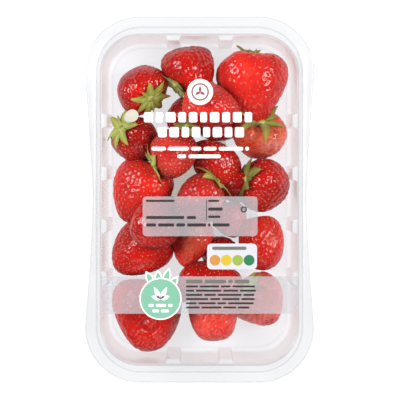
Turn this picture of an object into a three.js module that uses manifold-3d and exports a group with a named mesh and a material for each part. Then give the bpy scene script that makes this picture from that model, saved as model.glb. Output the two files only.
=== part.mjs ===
// A shut punnet of strawberries: a clear thermoformed tray with stacking ribs and a waisted
// flange, a sealing film over its mouth, an absorbent pad on its floor, and the heap of berries.
// Millimetres, +Z up. The origin is under the middle of the base, +Y runs along the length.
import * as THREE from "three";
import { mergeVertices } from "three/addons/utils/BufferGeometryUtils.js";
import Module from "manifold-3d";

const wasm = await Module();
wasm.setup();

// ---- Driving dimensions: the tray ----

const LENGTH = 187; // over the flange, along Y
const WIDTH = 117; // over the flange, along X
const HEIGHT = 45; // from the base to the top of the film
const SHEET = 0.5; // thickness of the formed tray
const FILM = 0.2; // thickness of the sealing film
const SEAL_GAP = 0.05; // clearance between film and land

const LAND_TOP = HEIGHT - FILM - SEAL_GAP; // sealing face of the flange
const FLANGE_RADIUS = 28; // corner of the flange, in plan
const WAIST = 4.1; // how far each long side of the flange is drawn in at the middle
const WAIST_POWER = 1.3; // how the waist fades towards the corners
const LAND = { halfWidth: 52.6, halfLength: 88, radius: 23 }; // outer edge of the sealing land
const MOUTH = { halfWidth: 50.5, halfLength: 84.4, radius: 20 }; // inner edge of the land
const MOUTH_DROP = 0.9; // height of the rounded edge between wall and land
const FOOT = { halfWidth: 48.2, halfLength: 81.3, radius: 17.5 }; // where wall meets floor radius
const FOOT_HEIGHT = 4;
const FLOOR = { halfWidth: 45.2, halfLength: 78.3, radius: 15 }; // edge of the flat floor
const SKIRT_DROP = 1; // from the land down to the skirt round it
const LIP_DROP = 2.8; // from the land down to the turned-down edge
const RIM_DROP = 3.1; // from the land down to the plane that parts the rim from the walls
const FLOOR_TOP = 0.7; // height of the plane that parts the floor from the walls

const RIB_FOOT = 8.2; // width of a stacking rib at the wall
const RIB_FACE = 5.6; // width of its front face
const RIB_DEPTH = 2.4; // how far it stands in from the wall
const RIB_SHELF_DROP = 3.4; // from the land down to the flat shelf on its top
const SIDE_RIBS = [-40.5, -13.5, 13.5, 40.5]; // along each long wall
const END_RIBS = [-13.5, 13.5]; // along each end wall
const SIDE_STOPS = [-54, -27, 0, 27, 54]; // further points along each long wall
const END_STOPS = [0];
const CORNER_STEPS = 7;

const CLEARANCE = 0.3; // between the contents and the tray, the pad and the film

// ---- Driving dimensions: the contents ----

const PAD = { width: 38, length: 54, thickness: 1.3, edge: 0.4, x: -5, y: 3 };
const BERRY_SIDES = 12;
const BERRY_STEPS = 8; // from calyx to tip
const CORE_SIDES = 8;
const CORE_STEPS = 5;
const SEPAL_THICKNESS = 0.5;
const SEPAL_FOLD = 0.35; // how far its edges stand above its midrib
const SEPAL_ROOT = 0.5; // how deep its root is sunk in the berry

// Each berry: middle x, y, z; length, width and depth; heading is the way its tip points in plan,
// dip the way it points up; taper narrows the tip and blunt squares off both ends; dent sinks the
// calyx; sepals is the number that show; lobe raises one shoulder beside the calyx: where across
// the berry, and by how much.
const BERRIES = [
  { at: [-30.7, 57.7, 14], size: [25.5, 29, 22.5], heading: 133, dip: -48, taper: 0.3, sepals: 7 },
  { at: [-4.2, 68, 15], size: [27.3, 30.7, 25.4], heading: 47, dip: -14, taper: 0.57, sepals: 5 },
  { at: [28, 57.8, 17], size: [41, 38.5, 26], heading: -84, dip: 9, taper: 0.68, dent: 4, lobe: [-6, 2.4], sepals: 5 },
  { at: [5.4, 48.2, 29.5], size: [31, 23.8, 22], heading: -12, dip: 2, taper: 0.35 },
  { at: [-7, 43, 12], size: [24, 21, 20], heading: 100, dip: -60, taper: 0.3, sepals: 4 },
  { at: [-33, 30, 14], size: [27.5, 24, 24], heading: -42, dip: -36, taper: 0.3, sepals: 7 },
  { at: [-13.2, 23.5, 27], size: [26, 24.5, 22], heading: 28, dip: -8, taper: 0.3, sepals: 6 },
  { at: [8.4, 18.6, 14.3], size: [30, 22.5, 21], heading: 140, dip: 12, taper: 0.2 },
  { at: [30.9, 32.7, 13.8], size: [26.2, 29, 22.8], heading: -99, dip: -44, taper: 0.43, blunt: 0.39, dent: 2.4, sepals: 6 },
  { at: [34.2, 6.9, 14], size: [27, 28.2, 24], heading: -15, dip: -25, taper: 0.3, sepals: 7 },
  { at: [-31, 4.1, 15], size: [36, 31, 27], heading: -117, dip: 4, taper: 0.5, dent: 3 },
  { at: [-0.3, 0.5, 27.5], size: [28, 21.8, 21], heading: -136, dip: -2, taper: 0.35, sepals: 6 },
  { at: [-23.4, -13.9, 30], size: [27, 23.5, 20], heading: -20, dip: 4, taper: 0.25 },
  { at: [-31, -26.4, 13], size: [34, 29.5, 22], heading: -139, dip: 5, taper: 0.42 },
  { at: [-4.6, -22.6, 14.5], size: [27, 21, 21], heading: -105, dip: 6, taper: 0.5 },
  { at: [32.5, -22.8, 13.5], size: [29.5, 23, 23], heading: -81, dip: 8, taper: 0.15, blunt: 0.15 },
  { at: [10.6, -28.8, 11], size: [20, 18, 18], heading: 30, dip: -20, taper: 0.3 },
  { at: [7, -44, 14.5], size: [26, 35, 22.5], heading: 78, dip: -58, taper: 0.25, sepals: 5 },
  { at: [32, -55, 13], size: [30.6, 28.6, 22.5], heading: -55, dip: -37, taper: 0.63, blunt: 0.4, sepals: 6 },
  { at: [-27, -59.8, 15], size: [40.5, 35.3, 27], heading: -91, dip: 4, taper: 0.42, blunt: 0.22, dent: 3 },
  { at: [7.2, -59.8, 28.5], size: [27, 23.8, 22], heading: -87, dip: 6, taper: 0.12, blunt: 0.35 },
  { at: [16.2, -10.8, 11], size: [20, 17.5, 17], heading: -70, dip: 0, taper: 0.3 },
];

// Rounded bodies of the core, hidden under the berries that lie on top: middle and sizes.
const CORE = [
  { at: [10, 40.5, 11.5], size: [26, 22, 20] },
  { at: [1, 56, 10], size: [17, 16, 17] },
  { at: [-13, 27, 11], size: [22, 20, 18] },
  { at: [2, -2, 11.5], size: [24, 22, 20] },
  { at: [-17, -8, 13], size: [22, 20, 23] },
  { at: [5, -58, 10.5], size: [20, 22, 19] },
  { at: [-11, -48, 10], size: [20, 14, 16] },
  { at: [20, 7, 11], size: [22, 18, 20] },
];

const PETAL_SIDES = 8;
const PETAL = { at: [-35.5, 43, 24.5], length: 8, width: 6.4, heading: 28, curl: 0.9 };

const SEPAL_LENGTH = 8.8;
const SEPAL_WIDTH = 3.8;
const SEPAL_VALLEY = 2.6; // from the middle of the calyx to the notch between two sepals
const SEPAL_LIFT = 3; // how far its point stands off the berry
const LUMP = 0.035; // unevenness of a berry, as a share of its radius
const DEFAULT_DENT = 1.6;
const PROFILE_STOPS = Array.from({ length: 60 }, (_, i) => (Math.PI * i) / 60);

const MATERIALS = {
  tray: { color: 0xe9ecee, roughness: 0.12, metalness: 0, transparent: true, opacity: 0.35 },
  rim: { color: 0xe9ecee, roughness: 0.12, metalness: 0, transparent: true, opacity: 0.35 },
  floor: { color: 0xe9ecee, roughness: 0.12, metalness: 0, transparent: true, opacity: 0.35 },
  film: { color: 0xf4f6f7, roughness: 0.08, metalness: 0, transparent: true, opacity: 0.2 },
  pad: { color: 0xcfc8bf, roughness: 0.9, metalness: 0 },
  strawberries: { color: 0xc9201c, roughness: 0.35, metalness: 0 },
};

// ---- Solids ----

/** Repeatable random numbers from 0 to 1. */
function randomFrom(seed) {
  let state = (seed * 2654435761 + 97) >>> 0;
  return () => {
    state = (state * 1664525 + 1013904223) >>> 0;
    return state / 4294967296;
  };
}

/** A closed surface from a first point, rings of equal count and a last point. */
function lofted(first, rings, last) {
  const count = rings[0].length;
  const positions = [first, ...rings.flat(), last].flat();
  const at = (ring, i) => 1 + ring * count + (i % count);
  const end = positions.length / 3 - 1;
  const index = [];
  for (let i = 0; i < count; i++) {
    index.push(0, at(0, i), at(0, i + 1));
    for (let ring = 0; ring + 1 < rings.length; ring++) {
      index.push(at(ring, i), at(ring + 1, i), at(ring + 1, i + 1));
      index.push(at(ring, i), at(ring + 1, i + 1), at(ring, i + 1));
    }
    index.push(end, at(rings.length - 1, i + 1), at(rings.length - 1, i));
  }
  const geometry = new THREE.BufferGeometry();
  geometry.setAttribute("position", new THREE.Float32BufferAttribute(positions, 3));
  geometry.setIndex(index);
  return geometry;
}

/** A geometry as a solid, turned to face outwards. */
function solid(geometry) {
  const bare = geometry.clone();
  bare.deleteAttribute("normal");
  bare.deleteAttribute("uv");
  const merged = mergeVertices(bare, 1e-4);
  const triVerts = new Uint32Array(merged.index.array);
  const vertProperties = new Float32Array(merged.attributes.position.array);
  const build = () =>
    new wasm.Manifold(new wasm.Mesh({ numProp: 3, vertProperties, triVerts }));
  const made = build();
  if (made.volume() > 0) return made;
  for (let i = 0; i < triVerts.length; i += 3) {
    [triVerts[i + 1], triVerts[i + 2]] = [triVerts[i + 2], triVerts[i + 1]];
  }
  return build();
}

/** A solid's surface as a geometry. */
function geometryOf(body) {
  const mesh = body.getMesh();
  const positions = new Float32Array(mesh.numVert * 3);
  for (let i = 0; i < mesh.numVert; i++) {
    const from = i * mesh.numProp;
    positions.set(mesh.vertProperties.subarray(from, from + 3), i * 3);
  }
  const geometry = new THREE.BufferGeometry();
  geometry.setAttribute("position", new THREE.BufferAttribute(positions, 3));
  geometry.setIndex(new THREE.BufferAttribute(new Uint32Array(mesh.triVerts), 1));
  geometry.computeVertexNormals();
  return geometry;
}

/** A named mesh with its finish. */
function meshOf(name, body) {
  const material = new THREE.MeshStandardMaterial({ ...MATERIALS[name], flatShading: true });
  const mesh = new THREE.Mesh(geometryOf(body), material);
  mesh.name = name;
  return mesh;
}

// ---- Tray, film and the space inside ----

/** Points along one wall: four for each rib, and the plain stops, in order. */
function wallStops(ribs, plain) {
  const stops = plain.map((at) => ({ at, rib: 0 }));
  for (const centre of ribs) {
    for (const side of [-1, 1]) {
      stops.push({ at: centre + (side * RIB_FOOT) / 2, rib: 0 });
      stops.push({ at: centre + (side * RIB_FACE) / 2, rib: 1 });
    }
  }
  return stops.sort((a, b) => a.at - b.at);
}

const SIDE = wallStops(SIDE_RIBS, SIDE_STOPS);
const END = wallStops(END_RIBS, END_STOPS);

/** One ring of the tray at a height: a rounded rectangle, waisted and drawn in at the ribs. */
function ring({ halfWidth, halfLength, radius, z, rib = 0, waist = 0 }) {
  const straightX = halfWidth - radius;
  const straightY = halfLength - radius;
  const drawn = (y) => waist * (1 - Math.min(1, Math.abs(y) / straightY) ** WAIST_POWER);
  const points = [];
  for (const [sx, sy] of [[1, 1], [-1, -1]]) {
    for (const stop of SIDE) {
      const y = sx * stop.at;
      points.push([sx * (halfWidth - drawn(y) - rib * stop.rib), y, z]);
    }
    for (const quarter of [0, 1]) {
      const cornerX = quarter ? -sx * straightX : sx * straightX;
      for (let step = 0; step <= CORNER_STEPS; step++) {
        const turn = (quarter + step / CORNER_STEPS + (sx < 0 ? 2 : 0)) * (Math.PI / 2);
        const x = cornerX + radius * Math.cos(turn);
        points.push([x, sy * straightY + radius * Math.sin(turn), z]);
      }
      if (quarter) continue;
      for (const stop of END) {
        points.push([-sy * stop.at, sy * (halfLength - rib * stop.rib), z]);
      }
    }
  }
  return points;
}

/** A ring's sizes, grown outwards and raised. */
function grown(stage, out, up) {
  return {
    ...stage,
    halfWidth: stage.halfWidth + out,
    halfLength: stage.halfLength + out,
    radius: stage.radius + out,
    z: stage.z + up,
  };
}

// The upper skin of the tray from the floor's edge out to the turned-down lip.
const SHELF_Z = LAND_TOP - RIB_SHELF_DROP;
const FLANGE = { halfWidth: WIDTH / 2, halfLength: LENGTH / 2, radius: FLANGE_RADIUS, waist: WAIST };
const atHeight = (stage, z, more = {}) => ({ ...stage, z, ...more });
const UPPER = [
  atHeight(FLOOR, SHEET, { rib: 0.5 * RIB_DEPTH }),
  grown(atHeight(FOOT, 1.4, { rib: 0.85 * RIB_DEPTH }), -0.9, 0),
  atHeight(FOOT, FOOT_HEIGHT, { rib: RIB_DEPTH }),
  grown(atHeight(MOUTH, SHELF_Z, { rib: RIB_DEPTH }), -0.9, 0),
  grown(atHeight(MOUTH, SHELF_Z + 0.15), -0.85, 0),
  grown(atHeight(MOUTH, LAND_TOP - MOUTH_DROP), -0.05, 0),
  grown(atHeight(MOUTH, LAND_TOP), 0.5, 0),
  atHeight(LAND, LAND_TOP),
  grown(atHeight(LAND, LAND_TOP - SKIRT_DROP), 0.35, 0),
  grown(atHeight(FLANGE, LAND_TOP - SKIRT_DROP - 0.2), -0.5, 0),
  atHeight(FLANGE, LAND_TOP - SKIRT_DROP - 0.7),
  atHeight(FLANGE, LAND_TOP - LIP_DROP),
];

const MOUTH_STAGE = 5; // the last stage below the land

/** Unit vector square to the tray's section at a stage, away from the upper skin. */
function sectionNormal(stages, i) {
  if (i === 0) return { out: 0, up: -1 };
  const before = stages[i - 1];
  const after = stages[Math.min(i + 1, stages.length - 1)];
  const out = after.halfWidth - before.halfWidth;
  const up = after.z - before.z;
  const size = Math.hypot(out, up);
  return { out: up / size, up: -out / size };
}

/** The lower skin: the upper one moved square to itself by the sheet's thickness. */
function lowerSkin(stages) {
  return stages.map((stage, i) => {
    const normal = sectionNormal(stages, i);
    return grown(stage, normal.out * SHEET, normal.up * SHEET);
  });
}

function makeTray() {
  const lower = lowerSkin(UPPER).reverse();
  const rings = [...UPPER, ...lower].map(ring);
  return solid(lofted([0, 0, SHEET], rings, [0, 0, 0]));
}

function makeFilm() {
  const low = LAND_TOP + SEAL_GAP;
  const rings = [low, low + FILM].map((z) => ring(grown(atHeight(LAND, z), -0.3, 0)));
  return solid(lofted([0, 0, low], rings, [0, 0, low + FILM]));
}

/** The space that the contents may fill: the inside of the tray, less a clearance. */
function makeCavity() {
  const inner = UPPER.slice(0, MOUTH_STAGE + 1).map((stage) => grown(stage, -CLEARANCE, 0));
  inner[0].z += CLEARANCE;
  const top = inner[MOUTH_STAGE].z;
  return solid(lofted([0, 0, inner[0].z], inner.map(ring), [0, 0, top]));
}

/** The pad: a thin cushion, sealed thin along its edges. */
function makePad(extra = 0) {
  const { width, length, thickness, edge, x, y } = PAD;
  const geometry = new THREE.BoxGeometry(width + extra, length + extra, 1, 6, 8, 1);
  const position = geometry.attributes.position;
  for (let i = 0; i < position.count; i++) {
    const u = (2 * position.getX(i)) / (width + extra);
    const v = (2 * position.getY(i)) / (length + extra);
    const crown = (1 - u ** 6) * (1 - v ** 6);
    const top = position.getZ(i) > 0;
    position.setZ(i, top ? edge + (thickness - edge) * crown + extra : 0);
  }
  geometry.translate(x, y, SHEET + SEAL_GAP);
  return solid(geometry);
}

// ---- Berries ----

/** The axes of a berry: along it, across it in plan, and square to both. */
function axesOf({ heading, dip }) {
  const h = THREE.MathUtils.degToRad(heading);
  const d = THREE.MathUtils.degToRad(dip);
  const along = new THREE.Vector3(Math.cos(h) * Math.cos(d), Math.sin(h) * Math.cos(d), Math.sin(d));
  const across = new THREE.Vector3(-Math.sin(h), Math.cos(h), 0);
  return { along, across, square: along.clone().cross(across) };
}

/** A function from (t, theta) to a point on a berry: t runs from calyx to tip, 0 to pi. */
function surfaceOf(berry, seed) {
  const random = randomFrom(seed);
  const phases = [random() * 6.28, random() * 6.28, random() * 6.28];
  const { along, across, square } = axesOf(berry);
  const [length, width, depth] = berry.size;
  const dent = berry.dent ?? DEFAULT_DENT;
  const [lobeAt, lobe] = berry.lobe ?? [0, 0];
  const middle = new THREE.Vector3(...berry.at);
  const power = 1 - (berry.blunt ?? 0);
  const profile = (t) => Math.sin(t) ** power * (1 - (berry.taper * (1 - Math.cos(t))) / 2);
  const widest = Math.max(...PROFILE_STOPS.map(profile));
  return (t, theta) => {
    const lumps =
      1 +
      LUMP * Math.cos(2 * theta + phases[0]) +
      LUMP * 0.8 * Math.cos(3 * theta + 1.5 * t + phases[1]) +
      LUMP * 0.6 * Math.cos(5 * theta - 2 * t + phases[2]);
    const radius = (profile(t) * lumps) / widest;
    const x = (radius * width * Math.cos(theta)) / 2;
    const y = (radius * depth * Math.sin(theta)) / 2;
    const sunk = dent * Math.exp(-((t / 0.5) ** 2));
    const raised = lobe * Math.exp(-(((x - lobeAt) / 6) ** 2)) * Math.sqrt(Math.max(0, Math.cos(t)));
    const w = (-length / 2) * Math.cos(t) + sunk - raised;
    return middle
      .clone()
      .addScaledVector(across, x)
      .addScaledVector(square, y)
      .addScaledVector(along, w);
  };
}

/** The closed body of a berry. */
function berryBody(surface, sides, steps) {
  const rings = [];
  for (let step = 1; step < steps; step++) {
    const t = (Math.PI * step) / steps;
    const points = [];
    for (let side = 0; side < sides; side++) {
      points.push(surface(t, (2 * Math.PI * side) / sides).toArray());
    }
    rings.push(points);
  }
  return solid(lofted(surface(0, 0).toArray(), rings, surface(Math.PI, 0).toArray()));
}

/** A thin solid between two faces split alike, given one face's points, triangles and rim. */
function leafSolid(points, faces, rim) {
  const count = points.length;
  const offset = ({ point, normal }, by) => point.clone().addScaledVector(normal, by).toArray();
  const upper = points.flatMap((p) => offset(p, SEPAL_THICKNESS / 2));
  const lower = points.flatMap((p) => offset(p, -SEPAL_THICKNESS / 2));
  const index = faces.flatMap(([a, b, c]) => [a, b, c, count + a, count + c, count + b]);
  rim.forEach((a, i) => {
    const b = rim[(i + 1) % rim.length];
    index.push(a, count + a, count + b, a, count + b, b);
  });
  const geometry = new THREE.BufferGeometry();
  geometry.setAttribute("position", new THREE.Float32BufferAttribute([...upper, ...lower], 3));
  geometry.setIndex(index);
  return solid(geometry);
}

/** A point a little off a berry, at a distance out from the calyx and a direction round it. */
function overShoulder(berry, surface, out, theta, rise) {
  const around = (berry.size[1] + berry.size[2]) / 4;
  const t = (out / around) ** (1 / (1 - (berry.blunt ?? 0)));
  const point = surface(t, theta);
  const down = surface(t + 0.02, theta).sub(point);
  const sideways = surface(t, theta + 0.05).sub(point);
  const normal = down.cross(sideways).normalize();
  if (normal.dot(point.clone().sub(new THREE.Vector3(...berry.at))) < 0) normal.negate();
  return { point: point.addScaledVector(normal, rise), normal };
}

/** The calyx: a thin star of sepals with raised edges and lifted points, sunk at its middle. */
function makeCalyx(berry, surface, random) {
  const on = (out, theta, rise) => overShoulder(berry, surface, out, theta, rise);
  const points = [on(0.01, 0, -SEPAL_ROOT)];
  const faces = [];
  const rim = [];
  const step = (2 * Math.PI) / berry.sepals;
  const at = (k, i) => 1 + (k % berry.sepals) * 5 + i;
  for (let k = 0; k < berry.sepals; k++) {
    const theta = step * (k + 0.3 * random());
    const reach = SEPAL_LENGTH * (0.8 + 0.4 * random());
    const lift = SEPAL_LIFT * (0.4 + 1.1 * random());
    const belly = 0.55 * reach;
    const half = Math.atan2(SEPAL_WIDTH / 2, belly);
    points.push(on(SEPAL_VALLEY, step * (k - 0.35), 0.4)); // the notch before the sepal
    points.push(on(SEPAL_VALLEY + 0.8, theta, 0.45)); // its midrib
    points.push(on(belly, theta - half, 0.4 + SEPAL_FOLD + lift / 4)); // one edge
    points.push(on(reach, theta, 0.4 + lift)); // its point
    points.push(on(belly, theta + half, 0.4 + SEPAL_FOLD + lift / 4)); // the other edge
    const [notch, rib, left, tip, right, next] = [0, 1, 2, 3, 4].map((i) => at(k, i)).concat(at(k + 1, 0));
    faces.push([0, notch, rib], [0, rib, next]);
    faces.push([notch, left, rib], [rib, left, tip], [rib, tip, right], [rib, right, next]);
    rim.push(notch, left, tip, right);
  }
  return leafSolid(points, faces, rim);
}

/** A fallen petal, cupped: a middle point and a ring of eight round it. */
function makePetal() {
  const { at, length, width, heading, curl } = PETAL;
  const h = THREE.MathUtils.degToRad(heading);
  const normal = new THREE.Vector3(0, 0, 1);
  const points = [{ point: new THREE.Vector3(...at), normal }];
  const faces = [];
  const rim = [];
  for (let i = 0; i < PETAL_SIDES; i++) {
    const turn = (2 * Math.PI * i) / PETAL_SIDES;
    const u = (length / 2) * Math.cos(turn);
    const v = (width / 2) * Math.sin(turn);
    const x = at[0] + u * Math.cos(h) - v * Math.sin(h);
    const y = at[1] + u * Math.sin(h) + v * Math.cos(h);
    points.push({ point: new THREE.Vector3(x, y, at[2] + curl), normal });
    faces.push([0, 1 + i, 1 + ((i + 1) % PETAL_SIDES)]);
    rim.push(1 + i);
  }
  return leafSolid(points, faces, rim);
}

/** The largest body of a solid, without loose scraps and with its sealed hollows filled. */
function filled(body) {
  const shells = body.decompose();
  return shells.reduce((best, shell) => (shell.volume() > best.volume() ? shell : best));
}

/** The heap: a low core, the berries that show, their sepals and the petal, fused in one. */
function makeHeap(cavity, padSpace) {
  const parts = CORE.map((body, i) => {
    const plain = { ...body, heading: 0, dip: 0, taper: 0, dent: 0 };
    return berryBody(surfaceOf(plain, 101 + i), CORE_SIDES, CORE_STEPS);
  });
  BERRIES.forEach((berry, i) => {
    const surface = surfaceOf(berry, 11 + i);
    parts.push(berryBody(surface, BERRY_SIDES, BERRY_STEPS));
    if (berry.sepals) parts.push(makeCalyx(berry, surface, randomFrom(201 + i)));
  });
  parts.push(makePetal());
  const fused = parts.reduce((all, part) => all.add(part));
  return filled(fused.intersect(cavity).subtract(padSpace));
}

// ---- The part ----

const punnet = new THREE.Group();
// One formed sheet in three nodes that meet in planes, as rim and walls bend round open space.
const [rim, tub] = makeTray().splitByPlane([0, 0, 1], LAND_TOP - RIM_DROP);
const [tray, floor] = tub.splitByPlane([0, 0, 1], FLOOR_TOP);
const film = makeFilm();
const pad = makePad();
const heap = makeHeap(makeCavity(), makePad(CLEARANCE));
punnet.add(meshOf("tray", tray));
punnet.add(meshOf("rim", rim));
punnet.add(meshOf("floor", floor));
punnet.add(meshOf("film", film));
punnet.add(meshOf("pad", pad));
punnet.add(meshOf("strawberries", heap));

export default punnet;
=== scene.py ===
"""Dressed model of a shut punnet of strawberries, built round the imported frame.

Sizes are in millimetres in the classes and turned to metres when a mesh is made. +Z is up, +Y runs
along the punnet, and the origin is under the middle of its base.
"""

from __future__ import annotations

import logging
import math
from dataclasses import dataclass, field
from enum import Enum
from typing import Any, Callable, Sequence

import bpy
import numpy as np
from mathutils import Matrix, Vector

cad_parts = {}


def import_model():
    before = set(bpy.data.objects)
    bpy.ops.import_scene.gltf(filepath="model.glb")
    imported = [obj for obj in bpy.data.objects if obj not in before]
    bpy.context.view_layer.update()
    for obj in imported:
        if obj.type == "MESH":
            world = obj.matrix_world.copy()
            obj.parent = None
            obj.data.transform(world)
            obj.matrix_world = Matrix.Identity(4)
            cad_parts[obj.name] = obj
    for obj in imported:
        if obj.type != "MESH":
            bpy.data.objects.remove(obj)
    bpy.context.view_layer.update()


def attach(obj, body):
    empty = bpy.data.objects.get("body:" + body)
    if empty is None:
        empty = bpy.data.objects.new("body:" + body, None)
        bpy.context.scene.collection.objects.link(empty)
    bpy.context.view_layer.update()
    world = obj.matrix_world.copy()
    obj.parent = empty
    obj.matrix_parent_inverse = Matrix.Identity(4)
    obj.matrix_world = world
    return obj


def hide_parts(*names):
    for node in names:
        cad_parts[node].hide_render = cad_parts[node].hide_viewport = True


LOG = logging.getLogger("punnet")
MM = 0.001
GOLDEN_ANGLE = 2.399963
# How far a seed's pit and its dimple reach, as shares of the seeds' spacing.
PIT_REACH, DIMPLE_REACH = 0.22, 0.56
BODY = "root"

Array = np.ndarray


# ---------------------------------------------------------------------------------------------
# Small tools
# ---------------------------------------------------------------------------------------------


def linear(hex_colour: str) -> tuple[float, float, float, float]:
    """Turns an sRGB hex colour into opaque linear RGBA.

    Args:
        hex_colour: Six hex digits, with or without a leading hash.

    Returns:
        Linear red, green and blue, and an alpha of 1.
    """
    digits = hex_colour.lstrip("#")
    channels = [int(digits[i : i + 2], 16) / 255 for i in (0, 2, 4)]
    turned = [c / 12.92 if c <= 0.04045 else ((c + 0.055) / 1.055) ** 2.4 for c in channels]
    return (turned[0], turned[1], turned[2], 1.0)


def add_node(tree: Any, kind: str, settings: dict[str, Any] | None = None, **links: Any) -> Any:
    """Adds one shader node with its settings and links.

    Args:
        tree: The node tree.
        kind: The node's type name, such as "ShaderNodeMath".
        settings: Attribute names, input names or input numbers, and their values.
        **links: Input names (spaces as underscores) or "i0", "i1" and so on, and the sockets that
            feed them.

    Returns:
        The new node.
    """
    node = tree.nodes.new(kind)
    for key, value in (settings or {}).items():
        if isinstance(key, str) and hasattr(node, key):
            setattr(node, key, value)
        else:
            node.inputs[key].default_value = value
    for key, socket in links.items():
        number = key[1:]
        numbered = key[0] == "i" and number.isdigit()
        target = node.inputs[int(number) if numbered else key.replace("_", " ")]
        tree.links.new(socket, target)
    return node


def repeatable(seed: int) -> Callable[[], float]:
    """Makes a repeatable source of random numbers from 0 to 1.

    Args:
        seed: The number that picks the sequence.

    Returns:
        A function that gives the next number.
    """
    state = [(seed * 2654435761 + 97) & 0xFFFFFFFF]

    def draw() -> float:
        """Gives the next number."""
        state[0] = (state[0] * 1664525 + 1013904223) & 0xFFFFFFFF
        return state[0] / 4294967296

    return draw


@dataclass
class MeshParts:
    """Collects vertices, faces and per-vertex numbers, and makes one object of them."""

    names: tuple[str, ...] = ()
    points: list[Array] = field(default_factory=list)
    quads: list[Array] = field(default_factory=list)
    triangles: list[Array] = field(default_factory=list)
    values: dict[str, list[Array]] = field(default_factory=dict)
    count: int = 0

    def add(
        self, points: Array, quads: Array, triangles: Array | None = None, **values: Array | float
    ) -> None:
        """Adds one piece of mesh.

        Args:
            points: Vertices in millimetres, one row each.
            quads: Rows of four vertex numbers of this piece.
            triangles: Rows of three vertex numbers of this piece.
            **values: A number, or one number for each vertex, under each of the collection's names.
        """
        points = np.asarray(points, dtype=float).reshape(-1, 3)
        self.points.append(points)
        self.quads.append(np.asarray(quads, dtype=np.int64) + self.count)
        if triangles is not None:
            self.triangles.append(np.asarray(triangles, dtype=np.int64) + self.count)
        for name in self.names:
            given = np.broadcast_to(np.asarray(values[name], dtype=float), (len(points),))
            self.values.setdefault(name, []).append(given)
        self.count += len(points)

    def build(self, name: str, sharp_degrees: float = 35.0) -> bpy.types.Object:
        """Makes the object, smooth-shaded but for its sharp edges.

        Args:
            name: The object's name.
            sharp_degrees: Edges bent more than this stay sharp.

        Returns:
            The new object, in metres, linked to the scene.
        """
        points = np.concatenate(self.points) * MM
        quads = np.concatenate(self.quads)
        triangles = np.concatenate(self.triangles) if self.triangles else np.zeros((0, 3), dtype=np.int64)
        mesh = bpy.data.meshes.new(name)
        mesh.vertices.add(len(points))
        mesh.vertices.foreach_set("co", points.ravel())
        corners = np.concatenate([quads.ravel(), triangles.ravel()])
        sizes = np.concatenate([np.full(len(quads), 4), np.full(len(triangles), 3)])
        mesh.loops.add(len(corners))
        mesh.loops.foreach_set("vertex_index", corners.astype(np.int32))
        mesh.polygons.add(len(sizes))
        starts = np.concatenate([[0], np.cumsum(sizes)[:-1]])
        mesh.polygons.foreach_set("loop_start", starts.astype(np.int32))
        mesh.update(calc_edges=True)
        mesh.validate()
        mesh.shade_smooth()
        mesh.set_sharp_from_angle(angle=math.radians(sharp_degrees))
        for value_name, chunks in self.values.items():
            layer = mesh.attributes.new(value_name, "FLOAT", "POINT")
            layer.data.foreach_set("value", np.concatenate(chunks).astype(np.float32))
        made = bpy.data.objects.new(name, mesh)
        bpy.context.scene.collection.objects.link(made)
        return made


def closed_faces(rings: int, around: int, flip: bool = False) -> tuple[Array, Array]:
    """Numbers the faces of a shape laid as a pole, closed rings of equal count and a pole.

    Args:
        rings: How many rings there are.
        around: How many points each ring has.
        flip: Whether to turn the faces round.

    Returns:
        Rows of four vertex numbers between the rings, and rows of three at the poles.
    """
    turn = np.arange(around)
    starts = 1 + np.arange(rings)[:, None] * around
    here, onward = starts + turn, starts + (turn + 1) % around
    quads = np.stack([here[:-1], here[1:], onward[1:], onward[:-1]], axis=-1).reshape(-1, 4)
    first, last = np.full(around, 0), np.full(around, 1 + rings * around)
    head = np.stack([first, here[0], onward[0]], axis=-1)
    tail = np.stack([last, onward[-1], here[-1]], axis=-1)
    triangles = np.concatenate([head, tail])
    return (quads[:, ::-1], triangles[:, ::-1]) if flip else (quads, triangles)


def slab_faces(rows: int, columns: int) -> Array:
    """Numbers the quads of a thin sheet laid as an upper grid of points and then a lower one.

    Args:
        rows: Points one way.
        columns: Points the other way.

    Returns:
        Rows of four vertex numbers: the upper face, the lower face and the edge round them.
    """
    below = rows * columns
    r, c = np.meshgrid(np.arange(rows - 1), np.arange(columns - 1), indexing="ij")
    a = r * columns + c
    upper = np.stack([a, a + 1, a + columns + 1, a + columns], axis=-1).reshape(-1, 4)
    rim = np.concatenate(
        [
            np.arange(columns),
            np.arange(1, rows) * columns + columns - 1,
            (rows - 1) * columns + np.arange(columns - 2, -1, -1),
            np.arange(rows - 2, 0, -1) * columns,
        ]
    )
    following = np.roll(rim, -1)
    edge = np.stack([rim, rim + below, following + below, following], axis=-1)
    return np.concatenate([upper, upper[:, ::-1] + below, edge])


def dress(piece: bpy.types.Object, material: bpy.types.Material, slot: str, *nodes: str) -> None:
    """Gives a piece its finish and its body, and hides the frame nodes that it stands for.

    Args:
        piece: The object.
        material: Its finish.
        slot: Not used.
        *nodes: The frame nodes that it replaces.
    """
    piece.data.materials.append(material)
    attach(piece, BODY)
    if nodes:
        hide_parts(*nodes)
    LOG.info("%s: %d faces", piece.name, len(piece.data.polygons))


# ---------------------------------------------------------------------------------------------
# Finishes
# ---------------------------------------------------------------------------------------------


# The wave texture's period in metres at a scale of 1.
WAVE_PERIOD = 0.314
WHITE = linear("#FFFFFF")


def new_material(name: str) -> tuple[bpy.types.Material, Any]:
    """Makes an empty node material.

    Args:
        name: The material's name.

    Returns:
        The material and its node tree.
    """
    material = bpy.data.materials.new(name)
    material.use_nodes = True
    material.node_tree.nodes.clear()
    return material, material.node_tree


def surfaced(material: bpy.types.Material, shader: Any) -> bpy.types.Material:
    """Links a shader node to the material's output and gives the material."""
    add_node(material.node_tree, "ShaderNodeOutputMaterial", None, Surface=shader.outputs[0])
    return material


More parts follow.
